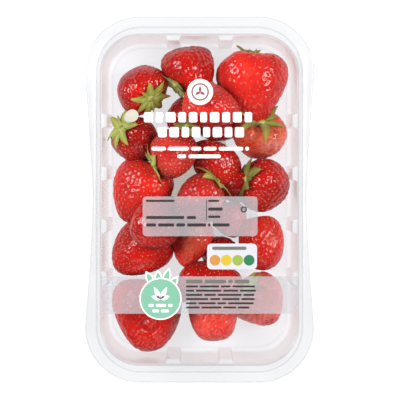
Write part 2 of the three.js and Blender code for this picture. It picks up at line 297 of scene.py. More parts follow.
def attribute(tree: Any, name: str) -> Any:
    """Gives the socket of a number that the mesh carries at each vertex."""
    return add_node(tree, "ShaderNodeAttribute", {"attribute_name": name}).outputs["Fac"]


def noise(tree: Any, size_mm: float, detail: float, roughness: float = 0.5) -> Any:
    """Lays a noise in the object's own frame.

    Args:
        tree: The node tree.
        size_mm: The size of its patches.
        detail: How many finer noises are added.
        roughness: How strong the finer noises are.

    Returns:
        The socket of a number from about 0 to 1.
    """
    place = add_node(tree, "ShaderNodeTexCoord")
    settings = {"Scale": 1 / (size_mm * MM), "Detail": detail, "Roughness": roughness}
    return add_node(tree, "ShaderNodeTexNoise", settings, Vector=place.outputs["Object"]).outputs["Fac"]


def grazing(tree: Any, exponent: float) -> Any:
    """Measures how far the surface is seen along its face.

    Args:
        tree: The node tree.
        exponent: How close to the edge it starts to grow.

    Returns:
        The socket of a number from 0 straight on to 1 at the edge.
    """
    facing = add_node(tree, "ShaderNodeLayerWeight", {"Blend": 0.5})
    settings = {"operation": "POWER", 1: exponent}
    return add_node(tree, "ShaderNodeMath", settings, i0=facing.outputs["Facing"]).outputs[0]


def added(tree: Any, value: Any, weight: float, onto: Any) -> Any:
    """Gives the socket of a number times a weight, added onto another number."""
    settings = {"operation": "MULTIPLY_ADD", 1: weight}
    return add_node(tree, "ShaderNodeMath", settings, i0=value, i2=onto).outputs[0]


def blend(tree: Any, share: Any, under: Any, over: tuple[float, ...], way: str = "MIX") -> Any:
    """Lays one colour over another.

    Args:
        tree: The node tree.
        share: The socket that says how much of the upper colour there is.
        under: The lower colour, or its socket.
        over: The upper colour.
        way: How the two are mixed.

    Returns:
        The mixed colour's socket.
    """
    mixed = add_node(tree, "ShaderNodeMix", {"data_type": "RGBA", "blend_type": way, 7: over}, i0=share)
    if isinstance(under, tuple):
        mixed.inputs[6].default_value = under
    else:
        tree.links.new(under, mixed.inputs[6])
    return mixed.outputs[2]


def tones(tree: Any, value: Any, stops: Sequence[tuple[float, str]]) -> Any:
    """Turns a number into a colour that runs from stop to stop.

    Args:
        tree: The node tree.
        value: The number's socket.
        stops: The place and the hex colour of each stop, in rising order.

    Returns:
        The colour's socket.
    """
    ramp = add_node(tree, "ShaderNodeValToRGB", None, Fac=value)
    elements = ramp.color_ramp.elements
    for i, (position, colour) in enumerate(stops):
        stop = elements[i] if i < len(elements) else elements.new(position)
        stop.position, stop.color = position, linear(colour)
    return ramp.outputs["Color"]


def bumped(tree: Any, height: Any, strength: float, depth_mm: float, **links: Any) -> Any:
    """Bends the surface's normal by a height.

    Args:
        tree: The node tree.
        height: The height's socket, from 0 to 1.
        strength: How much of the bump shows.
        depth_mm: How far 1 stands off 0.
        **links: The normal that it starts from, if another bump comes first.

    Returns:
        The bent normal's socket.
    """
    settings = {"Strength": strength, "Distance": depth_mm * MM}
    return add_node(tree, "ShaderNodeBump", settings, Height=height, **links).outputs["Normal"]


@dataclass(frozen=True)
class ClearSheet:
    """Clear PET, thermoformed or drawn as film: it lets most light straight through.

    The eye sees it by its gloss, which grows towards grazing angles and mirrors what lies beside
    it, and by a faint grey where the sheet is thick or seen along its face.
    """

    name: str
    thin: str
    thick: str
    edge: str
    bent: str
    haze_share: float
    straight_gloss: float
    gloss: float
    roughness: float
    ripple_mm: float
    ripple: float
    milk: str = "#EDEFF1"

    def make(self) -> bpy.types.Material:
        """Builds the material.

        Returns:
            The material.
        """
        material, tree = new_material(self.name)
        sheet = blend(tree, attribute(tree, "thickness"), linear(self.thin), linear(self.thick))
        through = blend(tree, grazing(tree, 3.0), sheet, linear(self.edge))
        bent = blend(tree, attribute(tree, "bend"), through, linear(self.bent))
        clear = add_node(tree, "ShaderNodeBsdfTransparent", None, Color=bent)
        milk = add_node(tree, "ShaderNodeBsdfDiffuse", {"Color": linear(self.milk)})
        cloudy = add_node(
            tree, "ShaderNodeMixShader", {0: self.haze_share}, i1=clear.outputs[0], i2=milk.outputs[0]
        )
        shine = add_node(
            tree,
            "ShaderNodeBsdfGlossy",
            {"Color": WHITE, "Roughness": self.roughness},
            Normal=bumped(tree, noise(tree, self.ripple_mm, 1.5, 0.4), self.ripple, 0.4),
        )
        mirror = add_node(
            tree,
            "ShaderNodeMath",
            {"operation": "MULTIPLY_ADD", 1: self.gloss, 2: self.straight_gloss, "use_clamp": True},
            i0=grazing(tree, 4.0),
        )
        both = add_node(
            tree,
            "ShaderNodeMixShader",
            None,
            i0=mirror.outputs[0],
            i1=cloudy.outputs[0],
            i2=shine.outputs[0],
        )
        return surfaced(material, both)


FORMED_PET = ClearSheet(
    name="formed_pet",
    thin="#FDFDFE",
    thick="#F7F8F9",
    # The edge colour's pink tint is a painted reflection of the red berries in the walls.
    edge="#EFE7E7",
    bent="#DCDCDF",
    haze_share=0.006,
    straight_gloss=0.02,
    gloss=0.4,
    roughness=0.22,
    ripple_mm=9.0,
    ripple=0.12,
)
LIDDING_PET_FILM = ClearSheet(
    name="lidding_pet_film",
    thin="#FFFFFF",
    thick="#FCFCFD",
    edge="#F0F0F4",
    bent="#FFFFFF",
    haze_share=0.001,
    straight_gloss=0.006,
    gloss=0.3,
    roughness=0.04,
    ripple_mm=26.0,
    ripple=0.1,
)


@dataclass(frozen=True)
class PrintingInk:
    """Flexographic ink on film: flat and smooth, opaque where two coats of white back it."""

    name: str
    colour: str
    alpha: float = 1.0
    roughness: float = 0.45
    mottle: float = 0.93

    def make(self) -> bpy.types.Material:
        """Builds the material, with the faint mottle of a thin ink coat.

        Returns:
            The material.
        """
        material, tree = new_material(self.name)
        base = linear(self.colour)
        deeper = tuple(c * self.mottle for c in base[:3]) + (1.0,)
        ink = add_node(
            tree,
            "ShaderNodeBsdfPrincipled",
            {"Roughness": self.roughness, "Alpha": self.alpha, "Specular IOR Level": 0.3},
            Base_Color=blend(tree, noise(tree, 3.0, 2.0), deeper, base),
        )
        return surfaced(material, ink)


INKS = {
    "white": PrintingInk("white_ink", "#F4F4F4"),
    "card": PrintingInk("card_ink", "#CDCDD2"),
    "rose": PrintingInk("rose_ink", "#8E5054"),
    "veil": PrintingInk("veil_ink", "#C6C4C9", 0.33),
    "grey": PrintingInk("grey_ink", "#767A70", 0.8),
    "black": PrintingInk("black_ink", "#3C3638", 0.8),
    "mint": PrintingInk("mint_ink", "#7DB69A"),
    "green": PrintingInk("green_ink", "#2F7751"),
    "lime": PrintingInk("lime_ink", "#93AC4C"),
    "yellow": PrintingInk("yellow_ink", "#CDB235"),
    "orange": PrintingInk("orange_ink", "#C98A45"),
}


@dataclass(frozen=True)
class PetalSkin:
    """A fallen petal: thin, cream and matt, and a little see-through."""

    colour: str = "#ECEAD8"
    alpha: float = 0.82
    roughness: float = 0.7

    def make(self) -> bpy.types.Material:
        """Builds the material, which is mottled as ink is."""
        return PrintingInk("cream_petal", self.colour, self.alpha, self.roughness).make()


@dataclass(frozen=True)
class TissuePad:
    """Embossed airlaid tissue: matt, pale beige, with fine ribs pressed in one way."""

    light: str = "#FFFDF8"
    dark: str = "#E6DED4"
    rib_mm: float = 1.1
    fibre_mm: float = 0.6

    def make(self) -> bpy.types.Material:
        """Builds the material.

        Returns:
            The material.
        """
        material, tree = new_material("airlaid_tissue")
        place = add_node(tree, "ShaderNodeTexCoord")
        ribs = add_node(
            tree,
            "ShaderNodeTexWave",
            {
                "Scale": WAVE_PERIOD / (self.rib_mm * MM),
                "Distortion": 0.6,
                "Detail": 2.0,
                "bands_direction": "Y",
            },
            Vector=place.outputs["Object"],
        )
        mixed = added(tree, ribs.outputs["Fac"], 0.6, noise(tree, self.fibre_mm, 4.0))
        tone = blend(tree, mixed, linear(self.dark), linear(self.light))
        tissue = add_node(
            tree,
            "ShaderNodeBsdfPrincipled",
            {"Roughness": 0.95, "Specular IOR Level": 0.15},
            Base_Color=tone,
            Normal=bumped(tree, mixed, 0.6, 0.3),
        )
        through = add_node(tree, "ShaderNodeBsdfTranslucent", None, Color=tone)
        lit = add_node(tree, "ShaderNodeMixShader", {0: 0.85}, i1=tissue.outputs[0], i2=through.outputs[0])
        return surfaced(material, lit)


@dataclass(frozen=True)
class RipeFlesh:
    """The skin of a ripe strawberry: thin, waxy and wet-looking over red flesh.

    It is deep crimson where it is ripest and, as painted shade, on the sides that face down, scarlet
    where it is less ripe, paler at the neck, darker in the pit round each seed as painted shade, and a
    whitish bloom, partly painted sheen, lies on berries that press against the film.
    """

    deep: str = "#78000A"
    bright: str = "#DC170A"
    neck: str = "#E0603C"
    # The pit colour darkens the skin in the pit round each seed: painted shade.
    pit: str = "#CE9999"
    # The whitish bloom colour, partly a painted sheen.
    bloom: str = "#EE9A92"
    patch_mm: float = 9.0
    grain_mm: float = 0.7

    def make(self) -> bpy.types.Material:
        """Builds the material.

        Returns:
            The material.
        """
        material, tree = new_material("ripe_strawberry_skin")
        patches = noise(tree, self.patch_mm, 3.0, 0.55)
        depth = added(tree, patches, 0.5, attribute(tree, "ripeness"))
        red = tones(tree, depth, ((0.22, self.neck), (0.42, self.bright), (1.0, self.deep)))
        # Painted shade: the pit round each seed is darkened.
        pitted = blend(tree, attribute(tree, "pit"), red, linear(self.pit), "MULTIPLY")
        # Lays the whitish bloom over the skin; it is partly painted sheen.
        with_bloom_and_sheen = blend(tree, attribute(tree, "bloom"), pitted, linear(self.bloom))
        collar = add_node(
            tree,
            "ShaderNodeMapRange",
            {"From Min": 0.1, "From Max": DIMPLE_REACH},
            Value=attribute(tree, "gap"),
        )
        dimpled = bumped(tree, collar.outputs[0], 1.0, 0.12)
        wet = add_node(tree, "ShaderNodeMapRange", {"To Min": 0.1, "To Max": 0.2}, Value=patches)
        skin = add_node(
            tree,
            "ShaderNodeBsdfPrincipled",
            {
                "Subsurface Weight": 0.12,
                "Subsurface Radius": (1.0, 0.18, 0.1),
                "Subsurface Scale": 0.002,
                "Specular IOR Level": 0.32,
                "Coat Weight": 0.14,
                "Coat Roughness": 0.05,
                "Sheen Weight": 0.04,
                "Sheen Roughness": 0.5,
            },
            Base_Color=with_bloom_and_sheen,
            Roughness=added(tree, grazing(tree, 3.0), 0.4, wet.outputs[0]),
            Normal=bumped(tree, noise(tree, self.grain_mm, 2.0), 0.25, 0.15, Normal=dimpled),
        )
        return surfaced(material, skin)


@dataclass(frozen=True)
class SeedCoat:
    """The dry seeds on a strawberry: small, hard and straw-yellow, some greener or browner."""

    pale: str = "#EFA862"
    brown: str = "#A63216"

    def make(self) -> bpy.types.Material:
        """Builds the material.

        Returns:
            The material.
        """
        material, tree = new_material("strawberry_seed")
        seed = add_node(
            tree,
            "ShaderNodeBsdfPrincipled",
            {"Roughness": 0.35, "Coat Weight": 0.3, "Coat Roughness": 0.2},
            Base_Color=blend(tree, attribute(tree, "shade"), linear(self.pale), linear(self.brown)),
        )
        return surfaced(material, seed)


@dataclass(frozen=True)
class SepalLeaf:
    """Fresh strawberry sepals: soft matt green, yellower at the root and along the veins."""

    root: str = "#D3D780"
    blade: str = "#9CAA40"
    tip: str = "#A68E3A"
    # The shaded colour is painted shade, laid over the sepals where they are darkened.
    shaded: str = "#5C5A26"
    patch_mm: float = 2.2

    def make(self) -> bpy.types.Material:
        """Builds the material.

        Returns:
            The material.
        """
        material, tree = new_material("strawberry_sepal")
        run = added(tree, noise(tree, self.patch_mm, 3.0), 0.35, attribute(tree, "along"))
        green = tones(tree, run, ((0.12, self.root), (0.5, self.blade), (1.0, self.tip)))
        veined = blend(tree, attribute(tree, "vein"), green, linear(self.root))
        # The shaded colour is painted shade, laid where the mesh's deep number is high.
        leaf = add_node(
            tree,
            "ShaderNodeBsdfPrincipled",
            {"Roughness": 0.55, "Specular IOR Level": 0.35, "Sheen Weight": 0.1, "Sheen Roughness": 0.5},
            Base_Color=blend(tree, attribute(tree, "deep"), veined, linear(self.shaded)),
        )
        return surfaced(material, leaf)


@dataclass(frozen=True)
class LitTable:
    """The top of a light table: plain opal acrylic, lit softly from within.

    The eye sees an even white that no shadow darkens much, even under a full clear tray.
    """

    colour: str = "#8B8B8C"
    glow: float = 0.76

    def make(self) -> bpy.types.Material:
        """Builds the material.

        Returns:
            The material.
        """
        material, tree = new_material("white_light_table")
        top = add_node(
            tree,
            "ShaderNodeBsdfPrincipled",
            {
                "Base Color": linear(self.colour),
                "Roughness": 0.9,
                "Specular IOR Level": 0.1,
                "Emission Color": WHITE,
                "Emission Strength": self.glow,
            },
        )
        return surfaced(material, top)


# ---------------------------------------------------------------------------------------------
# The tray and the film
# ---------------------------------------------------------------------------------------------


@dataclass(frozen=True)
class Outline:
    """A rounded rectangle in plan: half sizes and corner radius."""

    half_width: float
    half_length: float
    radius: float

    def grown(self, out: float) -> Outline:
        """Gives the outline moved out by a distance."""
        return Outline(self.half_width + out, self.half_length + out, self.radius + out)

    def towards(self, other: Outline, share: float) -> Outline:
        """Gives the outline part of the way to another.

        Args:
            other: The other outline.
            share: How far it is on the way, from 0 to 1.

        Returns:
            The outline between them.
        """
        return Outline(
            self.half_width + (other.half_width - self.half_width) * share,
            self.half_length + (other.half_length - self.half_length) * share,
            self.radius + (other.radius - self.radius) * share,
        )


@dataclass(frozen=True)
class Stage:
    """One step of the tray's section: an outline at a height, drawn in at ribs and waist.

    At a bend the sheet bends the light passing through it, so it shows as a fine grey line.
    """

    outline: Outline
    z: float
    rib: float = 0.0
    waist: float = 0.0
    bend: float = 0.0


Step = tuple[float, float, float]


@dataclass
class ClearTray:
    """The thermoformed tray: one sheet, with ribs to stack it by and a waisted flange.

    The rows of three are steps of its section: how far each lies outside its outline, how far
    under the sealing face, and how sharply the sheet bends there.
    """

    height: float = 45.0
    film: float = 0.2
    seal_gap: float = 0.05
    sheet: float = 0.5
    flange: Outline = Outline(58.5, 93.5, 28.0)
    waist: float = 4.1
    waist_power: float = 1.3
    land: Outline = Outline(52.6, 88.0, 23.0)
    mouth: Outline = Outline(50.5, 84.4, 20.0)
    foot: Outline = Outline(48.2, 81.3, 17.5)
    floor: Outline = Outline(45.2, 78.3, 15.0)
    foot_height: float = 4.0
    rib_foot: float = 8.2
    rib_face: float = 5.6
    rib_depth: float = 2.4
    rib_margin: float = 0.15
    shelf_drop: float = 3.4
    side_ribs: tuple[float, ...] = (-40.5, -13.5, 13.5, 40.5)
    end_ribs: tuple[float, ...] = (-13.5, 13.5)
    side_reach: float = 54.0
    end_reach: float = 19.0
    stop_mm: float = 1.1
    least_gap: float = 0.12
    corner_steps: int = 22
    ledge: tuple[Step, ...] = (
        (-0.85, 2.3, 0.4),
        (-0.75, 2.12, 0.0),
        (-0.35, 2.02, 0.0),
        (-0.22, 1.9, 0.9),
        (-0.12, 1.1, 1.0),
    )
    mouth_round: tuple[float, float] = (0.6, 0.75)
    land_edge: tuple[Step, ...] = (
        (-0.15, 0.0, 0.0),
        (0.05, 0.08, 0.2),
        (0.2, 0.5, 0.8),
        (0.35, 0.92, 0.4),
        (0.55, 1.0, 0.0),
    )
    skirt: tuple[Step, ...] = (
        (-0.75, 1.08, 0.0),
        (-0.35, 1.18, 0.1),
        (-0.08, 1.4, 0.2),
        (0.0, 1.7, 0.2),
        (0.0, 2.8, 0.2),
    )
    thinning_drop: float = 3.5
    thinning_reach: float = 6.0

    @property
    def land_top(self) -> float:
        """Height of the sealing face."""
        return self.height - self.film - self.seal_gap

    def rib_share(self, at: Array, ribs: Sequence[float]) -> Array:
        """Says how far the wall is drawn in at places along it.

        Args:
            at: Places along the wall.
            ribs: The middles of its ribs.

        Returns:
            Shares from 0 on the plain wall to 1 on a rib's face, eased at the edges.
        """
        share = np.zeros_like(at)
        for middle in ribs:
            ramp = (self.rib_foot / 2 - np.abs(at - middle)) / ((self.rib_foot - self.rib_face) / 2)
            ramp = np.clip(ramp, 0, 1)
            share = np.maximum(share, ramp * ramp * (3 - 2 * ramp))
        return share

    def wall_stops(self, reach: float, ribs: Sequence[float]) -> Array:
        """Spaces points along a wall, closer where the ribs turn.

        Args:
            reach: Half the stretch that is spaced.
            ribs: The middles of its ribs.

        Returns:
            Places along the wall in rising order.
        """
        stops = list(np.arange(-reach, reach + 0.01, 2 * reach / round(2 * reach / self.stop_mm / 2)))
        inner, outer = self.rib_face / 2 - self.rib_margin, self.rib_foot / 2 + self.rib_margin
        for middle in ribs:
            for edge in np.linspace(inner, outer, 7):
                stops += [middle - edge, middle + edge]
        kept: list[float] = []
        for stop in sorted(stops):
            if not kept or stop - kept[-1] > self.least_gap:
                kept.append(float(stop))
        return np.array(kept)

    def ring(self, stage: Stage) -> Array:
        """Lays one ring of the tray.

        Args:
            stage: The section's step.

        Returns:
            Points in millimetres, anticlockwise from the lower end of the +X side.
        """
        line = stage.outline
        straight_x = line.half_width - line.radius
        straight_y = line.half_length - line.radius
        side = self.wall_stops(self.side_reach, self.side_ribs)
        beyond = np.array([0.35, 0.7]) * (straight_y - self.side_reach) + self.side_reach
        side = np.concatenate([-beyond[::-1], side, beyond])
        end = self.wall_stops(self.end_reach, self.end_ribs)
        side_rib = self.rib_share(side, self.side_ribs) * self.rib_depth * stage.rib
        end_rib = self.rib_share(end, self.end_ribs) * self.rib_depth * stage.rib
        drawn = 1 - np.clip(np.abs(side) / straight_y, 0, 1) ** self.waist_power
        side_x = line.half_width - side_rib - stage.waist * drawn
        turns = np.linspace(0, math.pi / 2, self.corner_steps + 1)

        def corner(quarter: int) -> Array:
            """Lays one corner's arc.

            Args:
                quarter: Which corner it is, from 0 at +X +Y and anticlockwise.

            Returns:
                Points in plan.
            """
            turn = turns + quarter * math.pi / 2
            x = straight_x * (1 if quarter in (0, 3) else -1) + line.radius * np.cos(turn)
            y = straight_y * (1 if quarter in (0, 1) else -1) + line.radius * np.sin(turn)
            return np.stack([x, y], axis=-1)

        loop = np.concatenate(
            [
                np.stack([side_x, side], axis=-1),
                corner(0),
                np.stack([-end, line.half_length - end_rib], axis=-1),
                corner(1),
                np.stack([-side_x, -side], axis=-1),
                corner(2),
                np.stack([end, -line.half_length + end_rib], axis=-1),
                corner(3),
            ]
        )
        return np.column_stack([loop, np.full(len(loop), stage.z)])

    def steps(self, line: Outline, rows: Sequence[Step], waist: float = 0.0) -> list[Stage]:
        """Turns rows of three into the section's steps about an outline.

        Args:
            line: The outline.
            rows: The rows of three.
            waist: How far the long sides are drawn in.

        Returns:
            The steps in the same order.
        """
        top = self.land_top
        return [Stage(line.grown(out), top - drop, waist=waist, bend=bend) for out, drop, bend in rows]

    def upper_skin(self) -> list[Stage]:
        """Lists the section's steps from the floor's edge out to the turned-down lip.

        Returns:
            The upper skin's steps.
        """
        top = self.land_top
        shelf = top - self.shelf_drop
        wall_top = self.mouth.grown(-0.9)
        stages = [Stage(self.floor.grown(-0.6), self.sheet, 0.45)]
        for turn in np.radians([0, 15, 30, 45, 60, 75, 90]):
            share = float(np.sin(turn))
            z = self.sheet + float(1 - np.cos(turn)) * (self.foot_height - self.sheet)
            bend = 0.1 if 0.2 < turn < 0.4 else 0.0
            stages.append(Stage(self.floor.towards(self.foot, share), z, 0.5 + 0.5 * share, bend=bend))
        for share in (0.2, 0.45, 0.7, 0.9, 0.985):
            z = self.foot_height + (shelf - self.foot_height) * share
            stages.append(Stage(self.foot.towards(wall_top, share), z, 1.0))
        for rib, up in ((0.96, 0.0), (0.86, 0.1), (0.45, 0.15), (0.06, 0.2), (0.0, 0.35)):
            stages.append(Stage(wall_top, shelf + up, rib))
        # A small ledge under the mouth, then the rounded edge up to the land.
        stages += self.steps(self.mouth, self.ledge)
        round_out, round_rise = self.mouth_round
        for turn in np.radians([15, 40, 65, 90]):
            out = -0.1 + round_out * float(1 - np.cos(turn))
            z = top - round_rise + round_rise * float(np.sin(turn))
            stages.append(Stage(self.mouth.grown(out), z))
        stages.append(Stage(self.mouth.grown(0.5).towards(self.land, 0.5), top))
        stages += self.steps(self.land, self.land_edge)
        stages += self.steps(self.flange, self.skirt, self.waist)
        return stages

    def lower_skin(self, upper: list[Stage]) -> list[Stage]:
        """Moves the section square to itself by the sheet's thickness.

        Args:
            upper: The upper skin's steps.

        Returns:
            The lower skin's steps, in the same order.
        """
        lower = []
        for i, stage in enumerate(upper):
            before = upper[max(i - 1, 0)]
            after = upper[min(i + 1, len(upper) - 1)]
            out = after.outline.half_width - before.outline.half_width
            rise = after.z - before.z
            size = math.hypot(out, rise)
            shift = (rise / size * self.sheet, -out / size * self.sheet) if i > 1 else (0.0, -self.sheet)
            z = max(stage.z + shift[1], 0.0)
            lower.append(Stage(stage.outline.grown(shift[0]), z, stage.rib, stage.waist, stage.bend))
        return lower

    def build(self, finish: bpy.types.Material) -> None:
        """Makes the tray, which stands for its three frame nodes.

        Args:
            finish: The clear sheet's material.
        """
        upper = self.upper_skin()
        stages = upper + self.lower_skin(upper)[::-1]
        rings = [self.ring(stage) for stage in stages]
        around = len(rings[0])
        points = np.concatenate([[[0, 0, self.sheet]], *rings, [[0, 0, 0]]])
        below = self.land_top - self.thinning_drop - points[:, 2]
        thinned = np.clip(below / self.thinning_reach, 0, 1)
        bends = np.concatenate([[0.0], np.repeat([stage.bend for stage in stages], around), [0.0]])
        parts = MeshParts(("thickness", "bend"))
        parts.add(points, *closed_faces(len(rings), around), thickness=1 - thinned, bend=bends)
        dress(parts.build("tray_shell", 50), finish, "clear_tray", "tray", "rim", "floor")


@dataclass
class SealingFilm:
    """The lidding film, welded to the land all round."""

    tray: ClearTray
    inset: float = 0.3
    corner_steps: int = 16
    shares: tuple[float, ...] = (0.25, 0.5, 0.75, 0.93, 1.0)

    @property
    def top(self) -> float:
        """Height of its upper face."""
        return self.tray.height

    def build(self, finish: bpy.types.Material) -> None:
        """Makes the film, which stands for its frame node.

        Args:
            finish: The film's material.
        """
        low = self.top - self.tray.film
        line = self.tray.land.grown(-self.inset)
        loop = rounded_loop(line.half_width * 2, line.half_length * 2, line.radius, self.corner_steps)
        around = len(loop)
        rings = [np.column_stack([loop * share, np.full(around, low)]) for share in self.shares]
        rings += [np.column_stack([loop * share, np.full(around, self.top)]) for share in self.shares[::-1]]
        parts = MeshParts()
        points = np.concatenate([[[0, 0, low]], *rings, [[0, 0, self.top]]])
        parts.add(points, *closed_faces(len(rings), around, flip=True))
        dress(parts.build("lidding_film", 40), finish, "clear_film", "film")


# ---------------------------------------------------------------------------------------------
# The print on the film
# ---------------------------------------------------------------------------------------------


def rounded_loop(width: float, height: float, radius: float, steps: int = 5) -> Array:
    """Lays a rounded rectangle about the origin.

    Args:
        width: Its size along X.
        height: Its size along Y.
        radius: Its corners' radius.
        steps: Segments for each corner.

    Returns:
        Points in plan, anticlockwise.
    """
    loops = []
    for quarter in range(4):
        turn = np.linspace(0, math.pi / 2, steps + 1) + quarter * math.pi / 2
        x = (width / 2 - radius) * (1 if quarter in (0, 3) else -1) + radius * np.cos(turn)
        y = (height / 2 - radius) * (1 if quarter in (0, 1) else -1) + radius * np.sin(turn)
        loops.append(np.stack([x, y], axis=-1))
    return np.concatenate(loops)


def disc_loop(radius: float, steps: int = 56) -> Array:
    """Lays a circle about the origin."""
    turn = np.arange(steps) * 2 * math.pi / steps
    return radius * np.stack([np.cos(turn), np.sin(turn)], axis=-1)


def leaf_loop(length: float, width: float, steps: int = 12) -> Array:
    """Lays a leaf from the origin along +X: pointed at both ends and fullest before the middle.

    Args:
        length: Its length.
        width: Its greatest width.
        steps: Segments for each of its two edges.

    Returns:
        Points in plan, anticlockwise.
    """
    u = np.linspace(0, 1, steps + 1)
    half = width / 2 * (np.sin(math.pi * u**0.8)) ** 0.9
    up = np.stack([u * length, half], axis=-1)
    down = np.stack([u[::-1] * length, -half[::-1]], axis=-1)[1:-1]
    return np.concatenate([up, down])[::-1]


def placed(loop: Array, x: float, y: float, degrees: float = 0.0) -> Array:
    """Turns a loop and moves it to a place.

    Args:
        loop: Points in plan.
        x: How far it moves along X.
        y: How far it moves along Y.
        degrees: How far it turns, anticlockwise.

    Returns:
        The points in their new places.
    """
    turn = math.radians(degrees)
    matrix = np.array([[math.cos(turn), math.sin(turn)], [-math.sin(turn), math.cos(turn)]])
    return loop @ matrix + np.array([x, y])


class InkCoat(Enum):
    """The coats of ink, from the film outwards, and the height of each above the film in mm."""

    VEIL = 0.006
    COLOUR = 0.014
    MARK = 0.022
    TOP = 0.030
    DETAIL = 0.038
    CREST = 0.046


@dataclass
class FilmPrint:
    """The film's print: rows of blank blocks, two veils, a panel of dots and a leafy disc."""

    film_top: float
    coat: float = 0.006
    loops: dict[str, list[tuple[Array, float]]] = field(default_factory=dict)

    def lay(self, ink: str, loop: Array, coat: InkCoat = InkCoat.COLOUR) -> None:
        """Adds a flat shape to an ink's layer.

        Args:
            ink: The ink's name.
            loop: The shape's outline in plan.
            coat: The coat that it lies in.
        """
        self.loops.setdefault(ink, []).append((loop, coat.value))

    def blocks(
        self,
        ink: str,
        left: float,
        y: float,
        height: float,
        widths: Sequence[float],
        gap: float = 0.0,
        radius: float = 0.5,
        coat: InkCoat = InkCoat.COLOUR,
    ) -> None:
        """Lays a row of blank blocks, in place of a line of words.

        Args:
            ink: The ink's name.
            left: Where the row starts.
            y: The row's middle.
            height: The blocks' height.
            widths: The blocks' widths in order.
            gap: The space between two blocks.
            radius: The blocks' corner radius.
            coat: The coat that they lie in.
        """
        x = left
        for width in widths:
            loop = rounded_loop(width, height, min(radius, height / 2.01, width / 2.01), 4)
            self.lay(ink, placed(loop, x + width / 2, y), coat)
            x += width + gap

    def lay_out(self) -> None:
        """Lays out the whole print."""
        self.heading()
        self.veils()
        self.colour_panel()
        self.leafy_disc()
        self.small_rows()

    def heading(self) -> None:
        """Lays the round spot and the heading's white blocks."""
        x, y = 0.3, 55.1
        self.lay("white", placed(disc_loop(6.6), x, y))
        self.lay("rose", placed(disc_loop(4.5), x, y), InkCoat.MARK)
        self.lay("white", placed(disc_loop(3.7), x, y), InkCoat.TOP)
        for degrees in (90, 210, 330):
            self.lay("rose", placed(leaf_loop(2.9, 1.5), x, y, degrees), InkCoat.DETAIL)
        self.blocks("white", -28.3, 42.2, 5.2, (4.6, 3.7, 4.9, 3.9, 4.3, 3.5, 4.8, 4.0, 4.5, 3.8), 1.45, 0.9)
        self.blocks("white", -21.2, 34.6, 5.2, (4.5, 4.9, 3.8, 4.4, 3.6, 4.7, 3.9, 4.6), 1.35, 0.9)
        self.blocks("white", -24.4, 26.2, 1.9, (7.2, 10.6, 5.2, 6.6, 12.4, 1.9), 1.15, 0.8)
        self.blocks("white", -11.3, 22.3, 1.9, (4.4, 16.4), 1.3, 0.8)

    def veils(self) -> None:
        """Lays the two pale veils behind the small rows."""
        self.lay("veil", placed(rounded_loop(58.6, 20.3, 1.9), 0.3, -8.3), InkCoat.VEIL)
        self.lay("veil", placed(rounded_loop(100.4, 19.1, 0.4), 0.0, -48.5), InkCoat.VEIL)

    def colour_panel(self) -> None:
        """Lays a white panel with a row of coloured dots under a grey bar."""
        self.lay("card", placed(rounded_loop(25.5, 13.2, 2.3), 16.6, -28.8))
        self.blocks("grey", 6.4, -24.6, 1.7, (17.6,), 0.5, 0.8, InkCoat.MARK)
        inks = ("orange", "yellow", "lime", "green")
        for i, ink in enumerate(inks):
            self.lay(ink, placed(disc_loop(2.75, 36), 7.9 + 5.8 * i, -30.7), InkCoat.MARK)

    def leafy_disc(self) -> None:
        """Lays the mint disc with its white edge, a sprig on it and a few leaves at its shoulder."""
        x, y = -19.9, -50.4
        for degrees, length in ((118, 6.2), (96, 5.0), (74, 6.6), (52, 4.8)):
            turn = math.radians(degrees)
            px, py = x + 8.6 * math.cos(turn), y + 8.6 * math.sin(turn)
            self.lay("white", placed(leaf_loop(length + 1.3, 4.0), px, py, degrees))
            self.lay("mint", placed(leaf_loop(length, 2.7), px, py, degrees), InkCoat.MARK)
        self.lay("white", placed(disc_loop(10.8), x, y), InkCoat.TOP)
        self.lay("mint", placed(disc_loop(10.1), x, y), InkCoat.DETAIL)
        over = InkCoat.CREST
        for degrees, length in ((62, 7.2), (118, 7.2), (18, 5.0), (162, 5.0)):
            self.lay("white", placed(leaf_loop(length, 2.4), x, y - 0.2, degrees), over)
        self.blocks("white", x - 6.1, y - 3.4, 1.5, (2.6, 5.2, 2.2), 1.1, 0.5, over)
        self.blocks("white", x - 4.2, y - 6.2, 1.5, (3.4, 4.0), 1.0, 0.5, over)

    def small_rows(self) -> None:
        """Lays the dark rows on the two veils."""
        mark = InkCoat.MARK
        for left, y, height, gap, widths in (
            (-27.4, -0.4, 1.1, 0.0, (14.6,)),
            (4.4, -0.4, 1.1, 0.0, (5.6,)),
            (4.4, -4.6, 1.6, 0.0, (7.4,)),
            (-27.2, -8.9, 1.5, 1.4, (19.4, 4.6)),
            (4.4, -8.5, 1.2, 0.0, (6.2,)),
            (-27.2, -12.7, 1.6, 1.1, (5.0, 8.2, 4.4, 9.6, 1.2, 8.6)),
        ):
            self.blocks("black", left, y, height, widths, gap, coat=mark)
        self.blocks("black", 3.4, -4.9, 10.4, (0.35,), radius=0.1, coat=mark)
        self.lay("black", placed(rounded_loop(3.2, 3.2, 1.5), 22.6, -4.8), mark)
        self.lay("veil", placed(rounded_loop(1.8, 1.8, 0.8), 22.6, -4.8), InkCoat.TOP)
        left, top, line = -6.9, -44.1, 2.15
        self.blocks("grey", left, top + 2.5, 1.9, (8.4, 11.0, 2.2, 7.4), 1.1, 0.4, mark)
        rows = (
            (6.2, 9.8, 5.0, 11.6),
            (4.2, 13.0, 7.6, 8.2),
            (8.4, 6.0, 12.2, 5.6),
            (11.4, 5.2, 9.0, 6.8),
            (5.4, 8.8, 4.6, 13.0),
            (7.0, 10.2, 6.6, 5.8),
        )
        for i, widths in enumerate(rows):
            self.blocks("black", left, top - line * i, 1.0, widths, 0.9, 0.4, mark)

